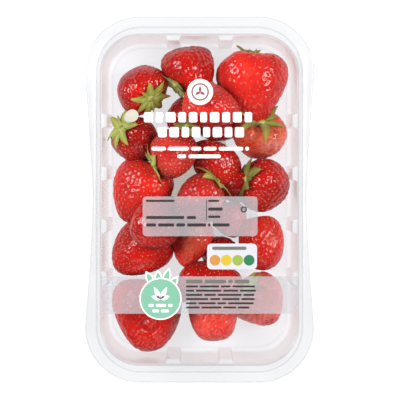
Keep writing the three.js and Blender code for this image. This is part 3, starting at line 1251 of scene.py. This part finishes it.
    def build(self, inks: dict[str, bpy.types.Material]) -> None:
        """Makes one piece for each ink.

        Args:
            inks: The ink materials by name.
        """
        for ink, shapes in self.loops.items():
            parts = MeshParts()
            for loop, lift in shapes:
                low = self.film_top + lift
                around = len(loop)
                lower = np.column_stack([loop, np.full(around, low)])
                upper = lower + np.array([0, 0, self.coat])
                foot = [*loop.mean(axis=0), low]
                points = np.concatenate([[foot], lower, upper, [[*foot[:2], low + self.coat]]])
                parts.add(points, *closed_faces(2, around, flip=True))
            dress(parts.build("print_" + ink, 40), inks[ink], "clear_film")


# ---------------------------------------------------------------------------------------------
# The pad
# ---------------------------------------------------------------------------------------------


@dataclass
class AbsorbentPad:
    """The tissue pad on the floor: a thin crowned cushion with sealed edges and pressed ribs."""

    width: float = 38.0
    length: float = 54.0
    thickness: float = 1.3
    edge: float = 0.4
    x: float = -5.0
    y: float = 3.0
    base: float = 0.55
    rib_mm: float = 1.1
    rib_high: float = 0.1
    columns: int = 60
    rows: int = 170

    def build(self, finish: bpy.types.Material) -> None:
        """Makes the pad, which stands for its frame node.

        Args:
            finish: The tissue's material.
        """
        u, v = np.meshgrid(np.linspace(-1, 1, self.columns), np.linspace(-1, 1, self.rows))
        crown = (1 - u**6) * (1 - v**6)
        along = v * self.length / 2
        ribs = self.rib_high * np.sin(2 * math.pi * along / self.rib_mm) * crown
        top = self.base + self.edge + (self.thickness - self.edge - self.rib_high) * crown + ribs
        x, y = self.x + u * self.width / 2, self.y + along
        upper = np.stack([x, y, top], axis=-1).reshape(-1, 3)
        lower = np.stack([x, y, np.full_like(top, self.base)], axis=-1).reshape(-1, 3)
        parts = MeshParts()
        parts.add(np.concatenate([upper, lower]), slab_faces(self.rows, self.columns))
        dress(parts.build("absorbent_pad_tissue", 60), finish, "absorbent_pad", "pad")


# ---------------------------------------------------------------------------------------------
# The berries
# ---------------------------------------------------------------------------------------------


class Layer(Enum):
    """Where a berry lies, and so the piece that it belongs to."""

    TOP = "berries_under_film"
    LOW = "berries_on_floor"
    LEFT = "berries_along_left_wall"
    RIGHT = "berries_along_right_wall"
    CORE = "berries_beneath"


@dataclass(frozen=True)
class Strawberry:
    """One berry: its middle, its length, width and depth, which way it lies, and its character."""

    at: tuple[float, float, float]
    size: tuple[float, float, float]
    heading: float = 0.0
    dip: float = 0.0
    taper: float = 0.35
    blunt: float = 0.0
    dent: float = 1.6
    lobe: tuple[float, float] = (0.0, 0.0)
    knot: tuple[float, float, float, float] = (0.0, 0.0, 1.0, 0.0)
    spots: tuple[tuple[float, float, float, float, float], ...] = ()
    leaf: float = 1.0
    # How much painted shade darkens the berry's whole calyx.
    leaf_deep: float = 0.12
    leaf_wide: float = 1.0
    leaf_lift: float = 1.0
    gold: float = 0.1
    sepals: int = 0
    layer: Layer = Layer.LOW
    ripeness: float = 0.3
    # How much whitish bloom, partly painted sheen, lies on the berry.
    bloom: float = 0.0
    seed_mm: float = 2.6
    seed: int = 0
    lump: float = 0.035

    def axes(self) -> tuple[Array, Array, Array]:
        """Gives the berry's directions.

        Returns:
            Unit vectors along to the tip, across in plan, and square to both.
        """
        h, d = math.radians(self.heading), math.radians(self.dip)
        along = np.array([math.cos(h) * math.cos(d), math.sin(h) * math.cos(d), math.sin(d)])
        across = np.array([-math.sin(h), math.cos(h), 0.0])
        return along, across, np.cross(along, across)

    def profile(self, t: Array) -> Array:
        """Gives the radius from calyx (0) to tip (pi), before it is scaled."""
        return np.abs(np.sin(t)) ** (1 - self.blunt) * (1 - self.taper * (1 - np.cos(t)) / 2)

    def surface(self, t: Array, theta: Array) -> Array:
        """Finds points on the smooth berry.

        Args:
            t: From the calyx at 0 to the tip at pi.
            theta: The direction round the axis.

        Returns:
            Points in millimetres, one row each.
        """
        draw = repeatable(self.seed)
        phases = [draw() * 6.28 for _ in range(3)]
        along, across, square = self.axes()
        length, width, depth = self.size
        widest = float(self.profile(np.arange(60) * math.pi / 60).max())
        lumps = (
            1
            + self.lump * np.cos(2 * theta + phases[0])
            + self.lump * 0.8 * np.cos(3 * theta + 1.5 * t + phases[1])
            + self.lump * 0.6 * np.cos(5 * theta - 2 * t + phases[2])
        )
        radius = self.profile(t) * lumps / widest
        x = radius * width * np.cos(theta) / 2
        y = radius * depth * np.sin(theta) / 2
        sunk = self.dent * np.exp(-((t / 0.5) ** 2))
        ring = np.hypot(x - self.knot[0], -length / 2 * np.cos(t) - self.knot[1]) - self.knot[2]
        y = y - self.knot[3] * np.exp(-((ring / 1.3) ** 2)) * np.clip(np.sin(theta) * 3, 0, 1)
        swell = np.exp(-(((x - self.lobe[0]) / 6) ** 2)) * np.sqrt(np.maximum(0, np.cos(t)))
        raised = self.lobe[1] * swell
        w = -length / 2 * np.cos(t) + sunk - raised
        middle = np.array(self.at)
        return middle + x[..., None] * across + y[..., None] * square + w[..., None] * along

    def normal(self, t: Array, theta: Array) -> Array:
        """Finds the outward unit vectors at points on the smooth berry.

        Args:
            t: From the calyx at 0 to the tip at pi.
            theta: The direction round the axis.

        Returns:
            Unit vectors, one row each.
        """
        t = np.clip(t, 0.02, math.pi - 0.02)
        down = self.surface(t + 0.01, theta) - self.surface(t - 0.01, theta)
        round_ = self.surface(t, theta + 0.01) - self.surface(t, theta - 0.01)
        outward = np.cross(round_, down)
        outward /= np.linalg.norm(outward, axis=-1, keepdims=True) + 1e-12
        away = self.surface(t, theta) - np.array(self.at)
        flip = np.sign(np.sum(outward * away, axis=-1, keepdims=True))
        return outward * np.where(flip == 0, 1, flip)

    def seed_places(self) -> tuple[Array, Array]:
        """Spaces the seeds evenly in a spiral, as they grow.

        Returns:
            The t and theta of each seed.
        """
        t = np.linspace(0.0, math.pi, 200)
        spine = self.surface(t, np.zeros_like(t))
        step = np.linalg.norm(np.diff(spine, axis=0), axis=1)
        mean = (self.size[1] + self.size[2]) / 4
        girth = 2 * math.pi * mean * np.maximum(self.profile(t), 0.02)
        area = np.concatenate([[0], np.cumsum(step * (girth[1:] + girth[:-1]) / 2)])
        count = int(area[-1] / (self.seed_mm**2 * 0.87))
        order = (np.arange(count) + 0.5) / count
        places = np.interp(order, area / area[-1], t)
        kept = (places > 0.3) & (places < math.pi - 0.06)
        draw = np.random.default_rng(self.seed)
        jitter = draw.normal(0, 0.035, (2, count))
        turned = np.arange(count) * GOLDEN_ANGLE + jitter[0] / np.maximum(np.sin(places), 0.25)
        return (places + jitter[1] * 0.8)[kept], turned[kept]

    def paint(self, points: Array, normal: Array, t: Array) -> tuple[Array, Array]:
        """Says how ripe the skin is, with painted shade on the sides that face down, and how much whitish
        bloom and painted sheen lies on it.

        Args:
            points: Places on the skin.
            normal: The outward unit vectors there.
            t: How far each place lies from calyx to tip.

        Returns:
            The ripeness with painted shade, and the bloom with painted sheen, of each place.
        """
        neck = np.clip(1 - t / 0.75, 0, 1)
        tip = np.clip((t - 1.9) / 1.2, 0, 1)
        # Painted shade: the last term makes the sides that face down riper, so a darker crimson.
        ripeness = self.ripeness + 0.12 * tip - 0.32 * neck + 0.2 * (1 - np.clip(normal[:, 2], 0, 1))
        patchy = 0.5 + 0.5 * np.sin(points[:, 0] * 0.35 + 1.7 * np.sin(points[:, 1] * 0.27 + self.seed))
        # The whitish bloom, partly painted sheen, comes and goes in broad waves.
        bloom = self.bloom * (0.55 + 0.45 * patchy)
        along, across, square = self.axes()
        own = points - np.array(self.at)
        side, down = own @ across, own @ along
        upper = np.clip((own @ square) / 3, 0, 1)
        # Each spot shifts the ripeness and the whitish bloom, partly painted sheen, in a patch on one face.
        for x, w, reach, riper, more_bloom_and_sheen in self.spots:
            near = np.exp(-((np.hypot(side - x, down - w) / reach) ** 4)) * upper
            ripeness = ripeness + riper * near
            bloom = bloom + more_bloom_and_sheen * near
        return ripeness, bloom

    def flesh(self, parts: MeshParts, spacing: float) -> None:
        """Adds the berry's skin, pitted round each seed.

        Args:
            parts: The collection to add to.
            spacing: The distance between its points.
        """
        mean = (self.size[1] + self.size[2]) / 4
        around = int(2 * math.pi * mean / spacing) // 2 * 2
        steps = int(math.pi * (mean + self.size[0] / 2) / 2 / spacing)
        t = np.repeat(np.linspace(0, math.pi, steps + 1)[1:-1], around)
        theta = np.tile(np.arange(around) * 2 * math.pi / around, steps - 1)
        t = np.concatenate([[0.0], t, [math.pi]])
        theta = np.concatenate([[0.0], theta, [0.0]])
        points = self.surface(t, theta)
        normal = self.normal(t, theta)
        along = self.axes()[0]
        normal[0], normal[-1] = -along, along
        seeds = self.surface(*self.seed_places())
        nearest = np.zeros(len(points))
        for chunk in np.array_split(np.arange(len(points)), max(1, len(points) // 2000)):
            away = np.linalg.norm(points[chunk, None, :] - seeds[None, :, :], axis=-1)
            nearest[chunk] = away.min(axis=1)
        gap = nearest / self.seed_mm
        pit = np.exp(-((gap / PIT_REACH) ** 2))
        dimple = np.clip(gap / DIMPLE_REACH, 0, 1) ** 2
        points = points + normal * (self.seed_mm * (0.17 * dimple - 0.09 - 0.06 * pit))[:, None]
        ripeness, bloom = self.paint(points, normal, t)
        faces = closed_faces(steps - 1, around)
        parts.add(points, *faces, ripeness=ripeness, pit=pit, gap=gap, bloom=bloom * (1 - 0.7 * pit))

    def seeds(self, parts: MeshParts) -> None:
        """Adds the seeds, each a small drop lying in its pit, pointing to the tip.

        Args:
            parts: The collection to add to.
        """
        t, theta = self.seed_places()
        middle = self.surface(t, theta)
        outward = self.normal(t, theta)
        onward = self.surface(t + 0.03, theta) - middle
        onward /= np.linalg.norm(onward, axis=-1, keepdims=True) + 1e-12
        sideways = np.cross(outward, onward)
        draw = np.random.default_rng(self.seed + 500)
        sides, sunk = 5, 0.34
        faces = closed_faces(2, sides)
        for i in range(len(t)):
            scale = 0.85 + 0.3 * draw.random()
            centre = middle[i] - outward[i] * sunk
            long_, wide, high = 0.56 * scale, 0.35 * scale, 0.3 * scale
            ring_points = []
            for along_share, size in ((-0.45, 0.85), (0.35, 0.8)):
                for angle in np.arange(sides) * 2 * math.pi / sides:
                    ring_points.append(
                        centre
                        + onward[i] * along_share * long_
                        + sideways[i] * wide * size * math.cos(angle)
                        + outward[i] * high * size * math.sin(angle)
                    )
            points = np.array([centre - onward[i] * long_, *ring_points, centre + onward[i] * long_])
            shade = min(1.0, max(0.0, float(draw.random() * 0.6 + 0.55 - self.gold)))
            parts.add(points, *faces, shade=shade)


@dataclass
class Calyx:
    """A berry's green star: one sepal for each that shows, and narrower ones between them."""

    berry: Strawberry
    length: float = 8.8
    width: float = 4.3
    lift: float = 3.0
    fold: float = 0.35
    root: float = 0.5
    thickness: float = 0.4
    rows: int = 11
    columns: int = 7

    def place(self, out: Array, theta: Array, rise: Array) -> Array:
        """Finds points over the berry's shoulder.

        Args:
            out: Distances from the calyx's middle.
            theta: Directions round it.
            rise: Heights off the skin.

        Returns:
            Points in millimetres.
        """
        around = (self.berry.size[1] + self.berry.size[2]) / 4
        t = (out / around) ** (1 / (1 - self.berry.blunt))
        return self.berry.surface(t, theta) + self.berry.normal(t, theta) * rise[..., None]

    def sepal(
        self, parts: MeshParts, direction: float, reach: float, half: float, lift: float, sway: float
    ) -> None:
        """Adds one sepal: a thin folded blade with a wavy edge and a lifted point.

        Args:
            parts: The collection to add to.
            direction: Its direction round the calyx.
            reach: Its length.
            half: Half its greatest width.
            lift: How far its point stands off the berry.
            sway: How much it bends to one side.
        """
        u, v = np.meshgrid(np.linspace(0, 1, self.rows), np.linspace(-1, 1, self.columns), indexing="ij")
        blade = 1.9 * (0.1 + u) ** 0.55 * (1 - u) ** 0.85 + 0.03
        side = v * half * blade + sway * u**2
        out = 0.5 + (reach - 0.5) * u
        rise = -self.root + (self.root + 0.45) * np.minimum(1, u / 0.22)
        rise = rise + lift * u**1.9 + self.fold * np.abs(v) * (1.2 - u)
        rise = rise + 0.22 * v * np.sin(9 * u + direction * 3)
        points = self.place(np.hypot(out, side), direction + np.arctan2(side, out), rise)
        down = np.gradient(points, axis=0)
        over = np.gradient(points, axis=1)
        normal = np.cross(over, down)
        normal /= np.linalg.norm(normal, axis=-1, keepdims=True) + 1e-9
        away = points - np.array(self.berry.at)
        normal *= np.sign(np.sum(normal * away, axis=-1, keepdims=True))
        thick = (self.thickness / 2 * (1 - 0.6 * np.abs(v)))[..., None]
        upper = (points + normal * thick).reshape(-1, 3)
        lower = (points - normal * thick).reshape(-1, 3)
        flat_u, flat_v = np.tile(u.ravel(), 2), np.tile(v.ravel(), 2)
        vein = 0.75 * np.exp(-((flat_v / 0.16) ** 2)) * (1 - 0.6 * flat_u)
        # Painted shade: darker towards the sepal's edges, and over the whole calyx by leaf_deep.
        deep = np.clip(self.berry.leaf_deep + 0.25 * np.abs(flat_v) ** 3, 0, 1)
        faces = slab_faces(self.rows, self.columns)
        parts.add(np.concatenate([upper, lower]), faces, along=0.75 * flat_u, vein=vein, deep=deep)

    def build(self, parts: MeshParts) -> None:
        """Adds the whole calyx.

        Args:
            parts: The collection to add to.
        """
        count = self.berry.sepals
        draw = repeatable(190 + self.berry.seed)
        step = 2 * math.pi / count
        half = self.width / 2 * self.berry.leaf_wide
        for k in range(count):
            direction = step * (k + 0.3 * draw())
            reach = self.length * (0.8 + 0.4 * draw()) * self.berry.leaf
            lift = self.lift * (0.4 + 1.1 * draw()) * self.berry.leaf_lift
            self.sepal(parts, direction, reach, half, lift, 1.2 * math.sin(7 * k + self.berry.seed))
            if k % 2:
                narrow = direction + step * 0.5
                self.sepal(parts, narrow, reach * 0.7, half * 0.52, lift * 0.8 + 0.4, 0.8 * math.cos(5 * k))
        self.stalk(parts)

    def stalk(self, parts: MeshParts) -> None:
        """Adds the short cut stalk in the middle of the calyx.

        Args:
            parts: The collection to add to.
        """
        along, across, square = self.berry.axes()
        foot = self.berry.surface(np.zeros(1), np.zeros(1))[0]
        sides = 10
        turn = np.arange(sides) * 2 * math.pi / sides
        # How far off the berry each ring lies, its radius, and how dry the cut stalk is there.
        stages = (
            (-1.0, 2.3, 0.0),
            (0.35, 2.3, 0.0),
            (0.75, 1.9, 0.05),
            (1.0, 1.25, 0.15),
            (1.7, 1.0, 0.5),
            (1.9, 0.7, 1.0),
        )
        rings = []
        for out, radius, _ in stages:
            centre = foot - along * out + across * 0.12 * out * out
            rings.append(
                centre
                + radius * np.cos(turn)[:, None] * across[None, :]
                + radius * np.sin(turn)[:, None] * square[None, :]
            )
        points = np.concatenate([[foot + along], *rings, [foot - along * 1.3 + across * 0.3]])
        dry = np.concatenate([[0.3], np.repeat([stage[2] for stage in stages], sides), [1.0]])
        faces = closed_faces(len(stages), sides, flip=True)
        parts.add(points, *faces, along=dry, vein=0.0, deep=0.0)


def visible_berries() -> list[Strawberry]:
    """Lists the berries that show, each with its place and character.

    Returns:
        The berries from the far end of the punnet to the near one, more or less.
    """
    top, low, left, right = Layer.TOP, Layer.LOW, Layer.LEFT, Layer.RIGHT
    rows: list[dict[str, Any]] = [
        dict(
            at=(-30.7, 57.7, 14), size=(25.5, 29, 22.5), heading=133, dip=-48, layer=left,
            taper=0.3, ripeness=0.36, seed_mm=2.3, sepals=7, leaf_deep=0.05,
        ),
        dict(
            at=(-4.2, 68, 15), size=(27.3, 30.7, 25.4), heading=47, dip=-14, layer=right,
            taper=0.57, ripeness=0.38, gold=0.2, seed_mm=2.8, sepals=5, leaf=0.85, leaf_wide=1.75,
            leaf_deep=0.1, leaf_lift=0.9,
        ),
        dict(
            at=(28, 57.8, 17), size=(41, 38.5, 26), heading=-84, dip=9, layer=right,
            taper=0.68, dent=4, lobe=(-6, 2.4), ripeness=0.2, bloom=0.04, gold=0.0, seed_mm=2.4,
            sepals=5, leaf=0.55,
        ),
        dict(
            at=(5.4, 48.2, 29.5), size=(31, 23.8, 22), heading=-12, dip=2, layer=top,
            taper=0.35, ripeness=0.24, bloom=0.06,
        ),
        dict(
            at=(-7, 43, 12), size=(24, 21, 20), heading=100, dip=-60, layer=low,
            taper=0.3, ripeness=0.55, sepals=4, leaf=0.6,
        ),
        dict(
            at=(-33, 30, 14), size=(27.5, 24, 24), heading=-42, dip=-36, layer=left,
            taper=0.3, ripeness=0.46, gold=0.35, sepals=7, leaf_deep=0.0,
        ),
        dict(
            at=(-13.2, 23.5, 27), size=(26, 24.5, 22), heading=28, dip=-8, layer=top,
            taper=0.3, ripeness=0.34, bloom=0.08, gold=0.45, sepals=6, leaf_wide=1.3, leaf_deep=0.0,
            leaf_lift=0.8,
        ),
        dict(
            at=(8.4, 18.6, 14.3), size=(30, 22.5, 21), heading=140, dip=12, layer=low,
            taper=0.2, ripeness=0.4, gold=0.35,
        ),
        dict(
            at=(30.9, 32.7, 13.8), size=(26.2, 29, 22.8), heading=-99, dip=-44, layer=right,
            taper=0.43, blunt=0.39, dent=2.4, knot=(8, 0, 2.4, 0.7), ripeness=-0.02, bloom=0.06,
            spots=((7, -2.5, 6, -0.15, 0.4), (8, 0, 2.2, 0.2, -0.4)), sepals=6, leaf=1.15,
            leaf_deep=0.3, leaf_lift=1.5,
        ),
        dict(
            at=(34.2, 6.9, 14), size=(27, 28.2, 24), heading=-15, dip=-25, layer=right,
            taper=0.3, ripeness=0.4, gold=0.45, seed_mm=2.9, sepals=7, leaf=1.12, leaf_wide=1.45,
            leaf_deep=0.55, leaf_lift=0.9,
        ),
        dict(
            at=(-31, 4.1, 15), size=(36, 31, 27), heading=-117, dip=4, layer=low,
            taper=0.5, dent=3, ripeness=0.2, bloom=0.03, gold=0.3,
        ),
        dict(
            at=(-0.3, 0.5, 27.5), size=(28, 21.8, 21), heading=-136, dip=-2, layer=top,
            taper=0.35, ripeness=0.42, bloom=0.04, gold=0.35, seed_mm=2.9,
            spots=((9.5, -5, 3.5, -0.6, 0.5),), sepals=6, leaf_wide=1.5, leaf_deep=0.0, leaf_lift=0.8,
        ),
        dict(
            at=(-23.4, -13.9, 30), size=(27, 23.5, 20), heading=-20, dip=4, layer=top,
            taper=0.25, ripeness=0.4, seed_mm=2.4,
        ),
        dict(
            at=(-31, -26.4, 13), size=(34, 29.5, 22), heading=-139, dip=5, layer=low,
            taper=0.42, ripeness=0.34, gold=0.3, seed_mm=2.0,
        ),
        dict(
            at=(-4.6, -22.6, 14.5), size=(27, 21, 21), heading=-105, dip=6, layer=low,
            taper=0.5, ripeness=0.08, bloom=0.05, gold=0.2,
        ),
        dict(
            at=(32.5, -22.8, 13.5), size=(29.5, 23, 23), heading=-81, dip=8, layer=right,
            taper=0.15, blunt=0.15, ripeness=0.12, bloom=0.03, gold=0.3,
        ),
        dict(
            at=(10.6, -28.8, 11), size=(20, 18, 18), heading=30, dip=-20, layer=low,
            taper=0.3, ripeness=0.6,
        ),
        dict(
            at=(7, -44, 14.5), size=(26, 35, 22.5), heading=78, dip=-58, layer=low,
            taper=0.25, ripeness=0.42, gold=0.35, sepals=5,
        ),
        dict(
            at=(32, -55, 13), size=(30.6, 28.6, 22.5), heading=-55, dip=-37, layer=right,
            taper=0.63, blunt=0.4, ripeness=0.02, bloom=0.22, spots=((-1.2, 9.5, 3.4, 0.3, -0.5),),
            sepals=6, leaf=0.7,
        ),
        dict(
            at=(-27, -59.8, 15), size=(40.5, 35.3, 27), heading=-91, dip=4, layer=left,
            taper=0.42, blunt=0.22, dent=3, knot=(1.3, 6.5, 3.4, 1.2), ripeness=0.26, seed_mm=2.4,
        ),
        dict(
            at=(7.2, -59.8, 28.5), size=(27, 23.8, 22), heading=-87, dip=6, layer=top,
            taper=0.12, blunt=0.35, ripeness=0.12, bloom=0.14,
        ),
        dict(
            at=(16.2, -10.8, 11), size=(20, 17.5, 17), heading=-70, dip=0, layer=low,
            taper=0.3, ripeness=0.3, bloom=0.1,
        ),
    ]
    return [Strawberry(seed=11 + i, **row) for i, row in enumerate(rows)]


def core_berries() -> list[Strawberry]:
    """Lists the plain berries of the heap's core, hidden under those that lie on top.

    Returns:
        The berries, all in the core's layer.
    """
    rows = (
        ((10, 40.5, 11.5), (26, 22, 20)),
        ((1, 56, 10), (17, 16, 17)),
        ((-13, 27, 11), (22, 20, 18)),
        ((2, -2, 11.5), (24, 22, 20)),
        ((-17, -8, 13), (22, 20, 23)),
        ((5, -58, 10.5), (20, 22, 19)),
        ((-11, -48, 10), (20, 14, 16)),
        ((20, 7, 11), (22, 18, 20)),
    )
    return [
        Strawberry(at=at, size=size, taper=0.0, dent=0.0, layer=Layer.CORE, ripeness=0.5, seed=101 + i)
        for i, (at, size) in enumerate(rows)
    ]


@dataclass
class FallenPetal:
    """A cream petal lying on a berry's shoulder, cupped."""

    at: tuple[float, float, float] = (-35.5, 43.0, 24.5)
    length: float = 8.0
    width: float = 6.4
    heading: float = 28.0
    curl: float = 0.9
    wave: float = 0.12
    thickness: float = 0.3
    rings: int = 7
    around: int = 32

    def build(self, finish: bpy.types.Material) -> None:
        """Makes the petal, part of the heap's frame node.

        Args:
            finish: The petal's material.
        """
        shares = np.linspace(0, 1, self.rings + 1)[1:]
        turns = np.arange(self.around) * 2 * math.pi / self.around
        share, turn = np.meshgrid(shares, turns, indexing="ij")
        h = math.radians(self.heading)
        a = share * self.length / 2 * np.cos(turn)
        b = share * self.width / 2 * np.sin(turn) * (1 + self.wave * np.cos(turn))
        x = self.at[0] + a * math.cos(h) - b * math.sin(h)
        y = self.at[1] + a * math.sin(h) + b * math.cos(h)
        z = self.at[2] + self.curl * share**2 + self.wave * np.sin(5 * turn) * share**3
        half = np.array([0, 0, self.thickness / 2])
        middle, sheet = np.array([self.at]), np.stack([x, y, z], axis=-1)
        upper, lower = (sheet + half).reshape(-1, 3), (sheet - half)[::-1].reshape(-1, 3)
        parts = MeshParts()
        points = np.concatenate([middle + half, upper, lower, middle - half])
        parts.add(points, *closed_faces(2 * self.rings, self.around))
        dress(parts.build("fallen_petal", 60), finish, "strawberry", "strawberries")


@dataclass
class Heap:
    """The heap of berries, gathered into one piece for each layer and kind."""

    spacing: float = 0.485
    core_spacing: float = 0.95

    def build(self, flesh: bpy.types.Material, seed: bpy.types.Material, leaf: bpy.types.Material) -> None:
        """Makes the berries, their seeds and their calyxes, all for the heap's frame node.

        Args:
            flesh: The skin's material.
            seed: The seeds' material.
            leaf: The sepals' material.
        """
        shown, hidden = visible_berries(), core_berries()
        for layer in Layer:
            spacing = self.core_spacing if layer is Layer.CORE else self.spacing
            skins = MeshParts(("ripeness", "pit", "gap", "bloom"))
            for berry in shown + hidden:
                if berry.layer is layer:
                    berry.flesh(skins, spacing)
            dress(skins.build(layer.value, 80), flesh, "strawberry", "strawberries")
        seeds = MeshParts(("shade",))
        for berry in shown + hidden:
            berry.seeds(seeds)
        dress(seeds.build("berry_seeds", 80), seed, "strawberry", "strawberries")
        leaves = MeshParts(("along", "vein", "deep"))
        for berry in shown:
            if berry.sepals:
                Calyx(berry).build(leaves)
        dress(leaves.build("berry_calyxes", 70), leaf, "strawberry", "strawberries")


# ---------------------------------------------------------------------------------------------
# The studio
# ---------------------------------------------------------------------------------------------


@dataclass
class Studio:
    """A plain pale floor, soft light from large boxes, and the camera above.

    Its sizes are in metres, but for the width of the picture and of the sensor.
    """

    floor_size: float = 3.0
    floor_drop_mm: float = 0.1
    frame_mm: float = 204.1
    sensor_mm: float = 36.0
    distance: float = 1.1
    rim_z: float = 0.0437
    aim_z: float = 0.02
    camera_x: float = 0.00025
    camera_y: float = 0.027
    wall_light: float = 0.12
    ceiling_light: float = 0.01

    def build(self) -> None:
        """Makes the floor, the lights, the world and the camera."""
        self.floor()
        self.world()
        self.softbox("key_left", (-0.75, 0.25, 0.8), 0.4, 0.6, 12.5)
        self.softbox("key_right", (0.75, 0.15, 0.8), 0.4, 0.6, 11.0)
        self.softbox("fill_front", (0.0, -0.9, 0.7), 0.9, 0.4, 3.0)
        self.camera()

    def floor(self) -> None:
        """Makes the floor, just under the base."""
        parts = MeshParts()
        half, low = self.floor_size / 2 / MM, -self.floor_drop_mm
        corners = [[-half, -half, low], [half, -half, low], [half, half, low], [-half, half, low]]
        parts.add(np.array(corners), np.array([[0, 1, 2, 3]]))
        floor = parts.build("studio_floor")
        floor.data.materials.append(LitTable().make())

    def world(self) -> None:
        """Gives the room soft white walls under a ceiling that is dark straight overhead."""
        world = bpy.data.worlds.new("studio")
        bpy.context.scene.world = world
        world.use_nodes = True
        tree = world.node_tree
        tree.nodes.clear()
        way = add_node(tree, "ShaderNodeTexCoord")
        split = add_node(tree, "ShaderNodeSeparateXYZ", None, Vector=way.outputs["Generated"])
        walls = add_node(
            tree,
            "ShaderNodeMapRange",
            {
                "interpolation_type": "SMOOTHSTEP",
                "From Min": 0.75,
                "From Max": 0.95,
                "To Min": self.wall_light,
                "To Max": self.ceiling_light,
            },
            Value=split.outputs["Z"],
        )
        sky = add_node(tree, "ShaderNodeBackground", {"Color": WHITE}, Strength=walls.outputs[0])
        add_node(tree, "ShaderNodeOutputWorld", None, Surface=sky.outputs[0])

    def softbox(
        self, name: str, place: tuple[float, float, float], width: float, height: float, power: float
    ) -> None:
        """Adds one soft box aimed at the punnet.

        Args:
            name: The light's name.
            place: Where it hangs, in metres.
            width: Its width.
            height: Its height.
            power: Its strength in watts.
        """
        light = bpy.data.lights.new(name, "AREA")
        light.shape = "RECTANGLE"
        light.size, light.size_y, light.energy = width, height, power
        lamp = bpy.data.objects.new(name, light)
        lamp.location = place
        aim = Vector((0, 0, self.aim_z)) - Vector(place)
        lamp.rotation_euler = aim.to_track_quat("-Z", "Y").to_euler()
        bpy.context.scene.collection.objects.link(lamp)

    def camera(self) -> None:
        """Hangs the camera over the punnet, looking down, +Y up in the picture."""
        scene = bpy.context.scene
        lens = bpy.data.cameras.new("camera")
        lens.sensor_width = self.sensor_mm
        lens.lens = self.sensor_mm * self.distance / (self.frame_mm * MM)
        lens.clip_start, lens.clip_end = 0.05, 20
        eye = bpy.data.objects.new("camera", lens)
        place = Vector((self.camera_x, self.camera_y, self.rim_z + self.distance))
        target = Vector((self.camera_x, 0, self.rim_z))
        back = (place - target).normalized()
        right = Vector((1, 0, 0))
        up = back.cross(right)
        turn = Matrix((right, up, back)).transposed().to_4x4()
        eye.matrix_world = Matrix.Translation(place) @ turn
        scene.collection.objects.link(eye)
        scene.camera = eye
        scene.view_settings.view_transform = "Standard"
        scene.view_settings.look = "None"


def main() -> None:
    """Loads the frame, builds each sub-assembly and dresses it."""
    logging.basicConfig(level=logging.INFO, format="%(message)s")
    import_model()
    Studio().build()
    tray = ClearTray()
    tray.build(FORMED_PET.make())
    film = SealingFilm(tray)
    film.build(LIDDING_PET_FILM.make())
    design = FilmPrint(film.top)
    design.lay_out()
    design.build({name: ink.make() for name, ink in INKS.items()})
    AbsorbentPad().build(TissuePad().make())
    Heap().build(RipeFlesh().make(), SeedCoat().make(), SepalLeaf().make())
    FallenPetal().build(PetalSkin().make())


if __name__ == "__main__":
    main()
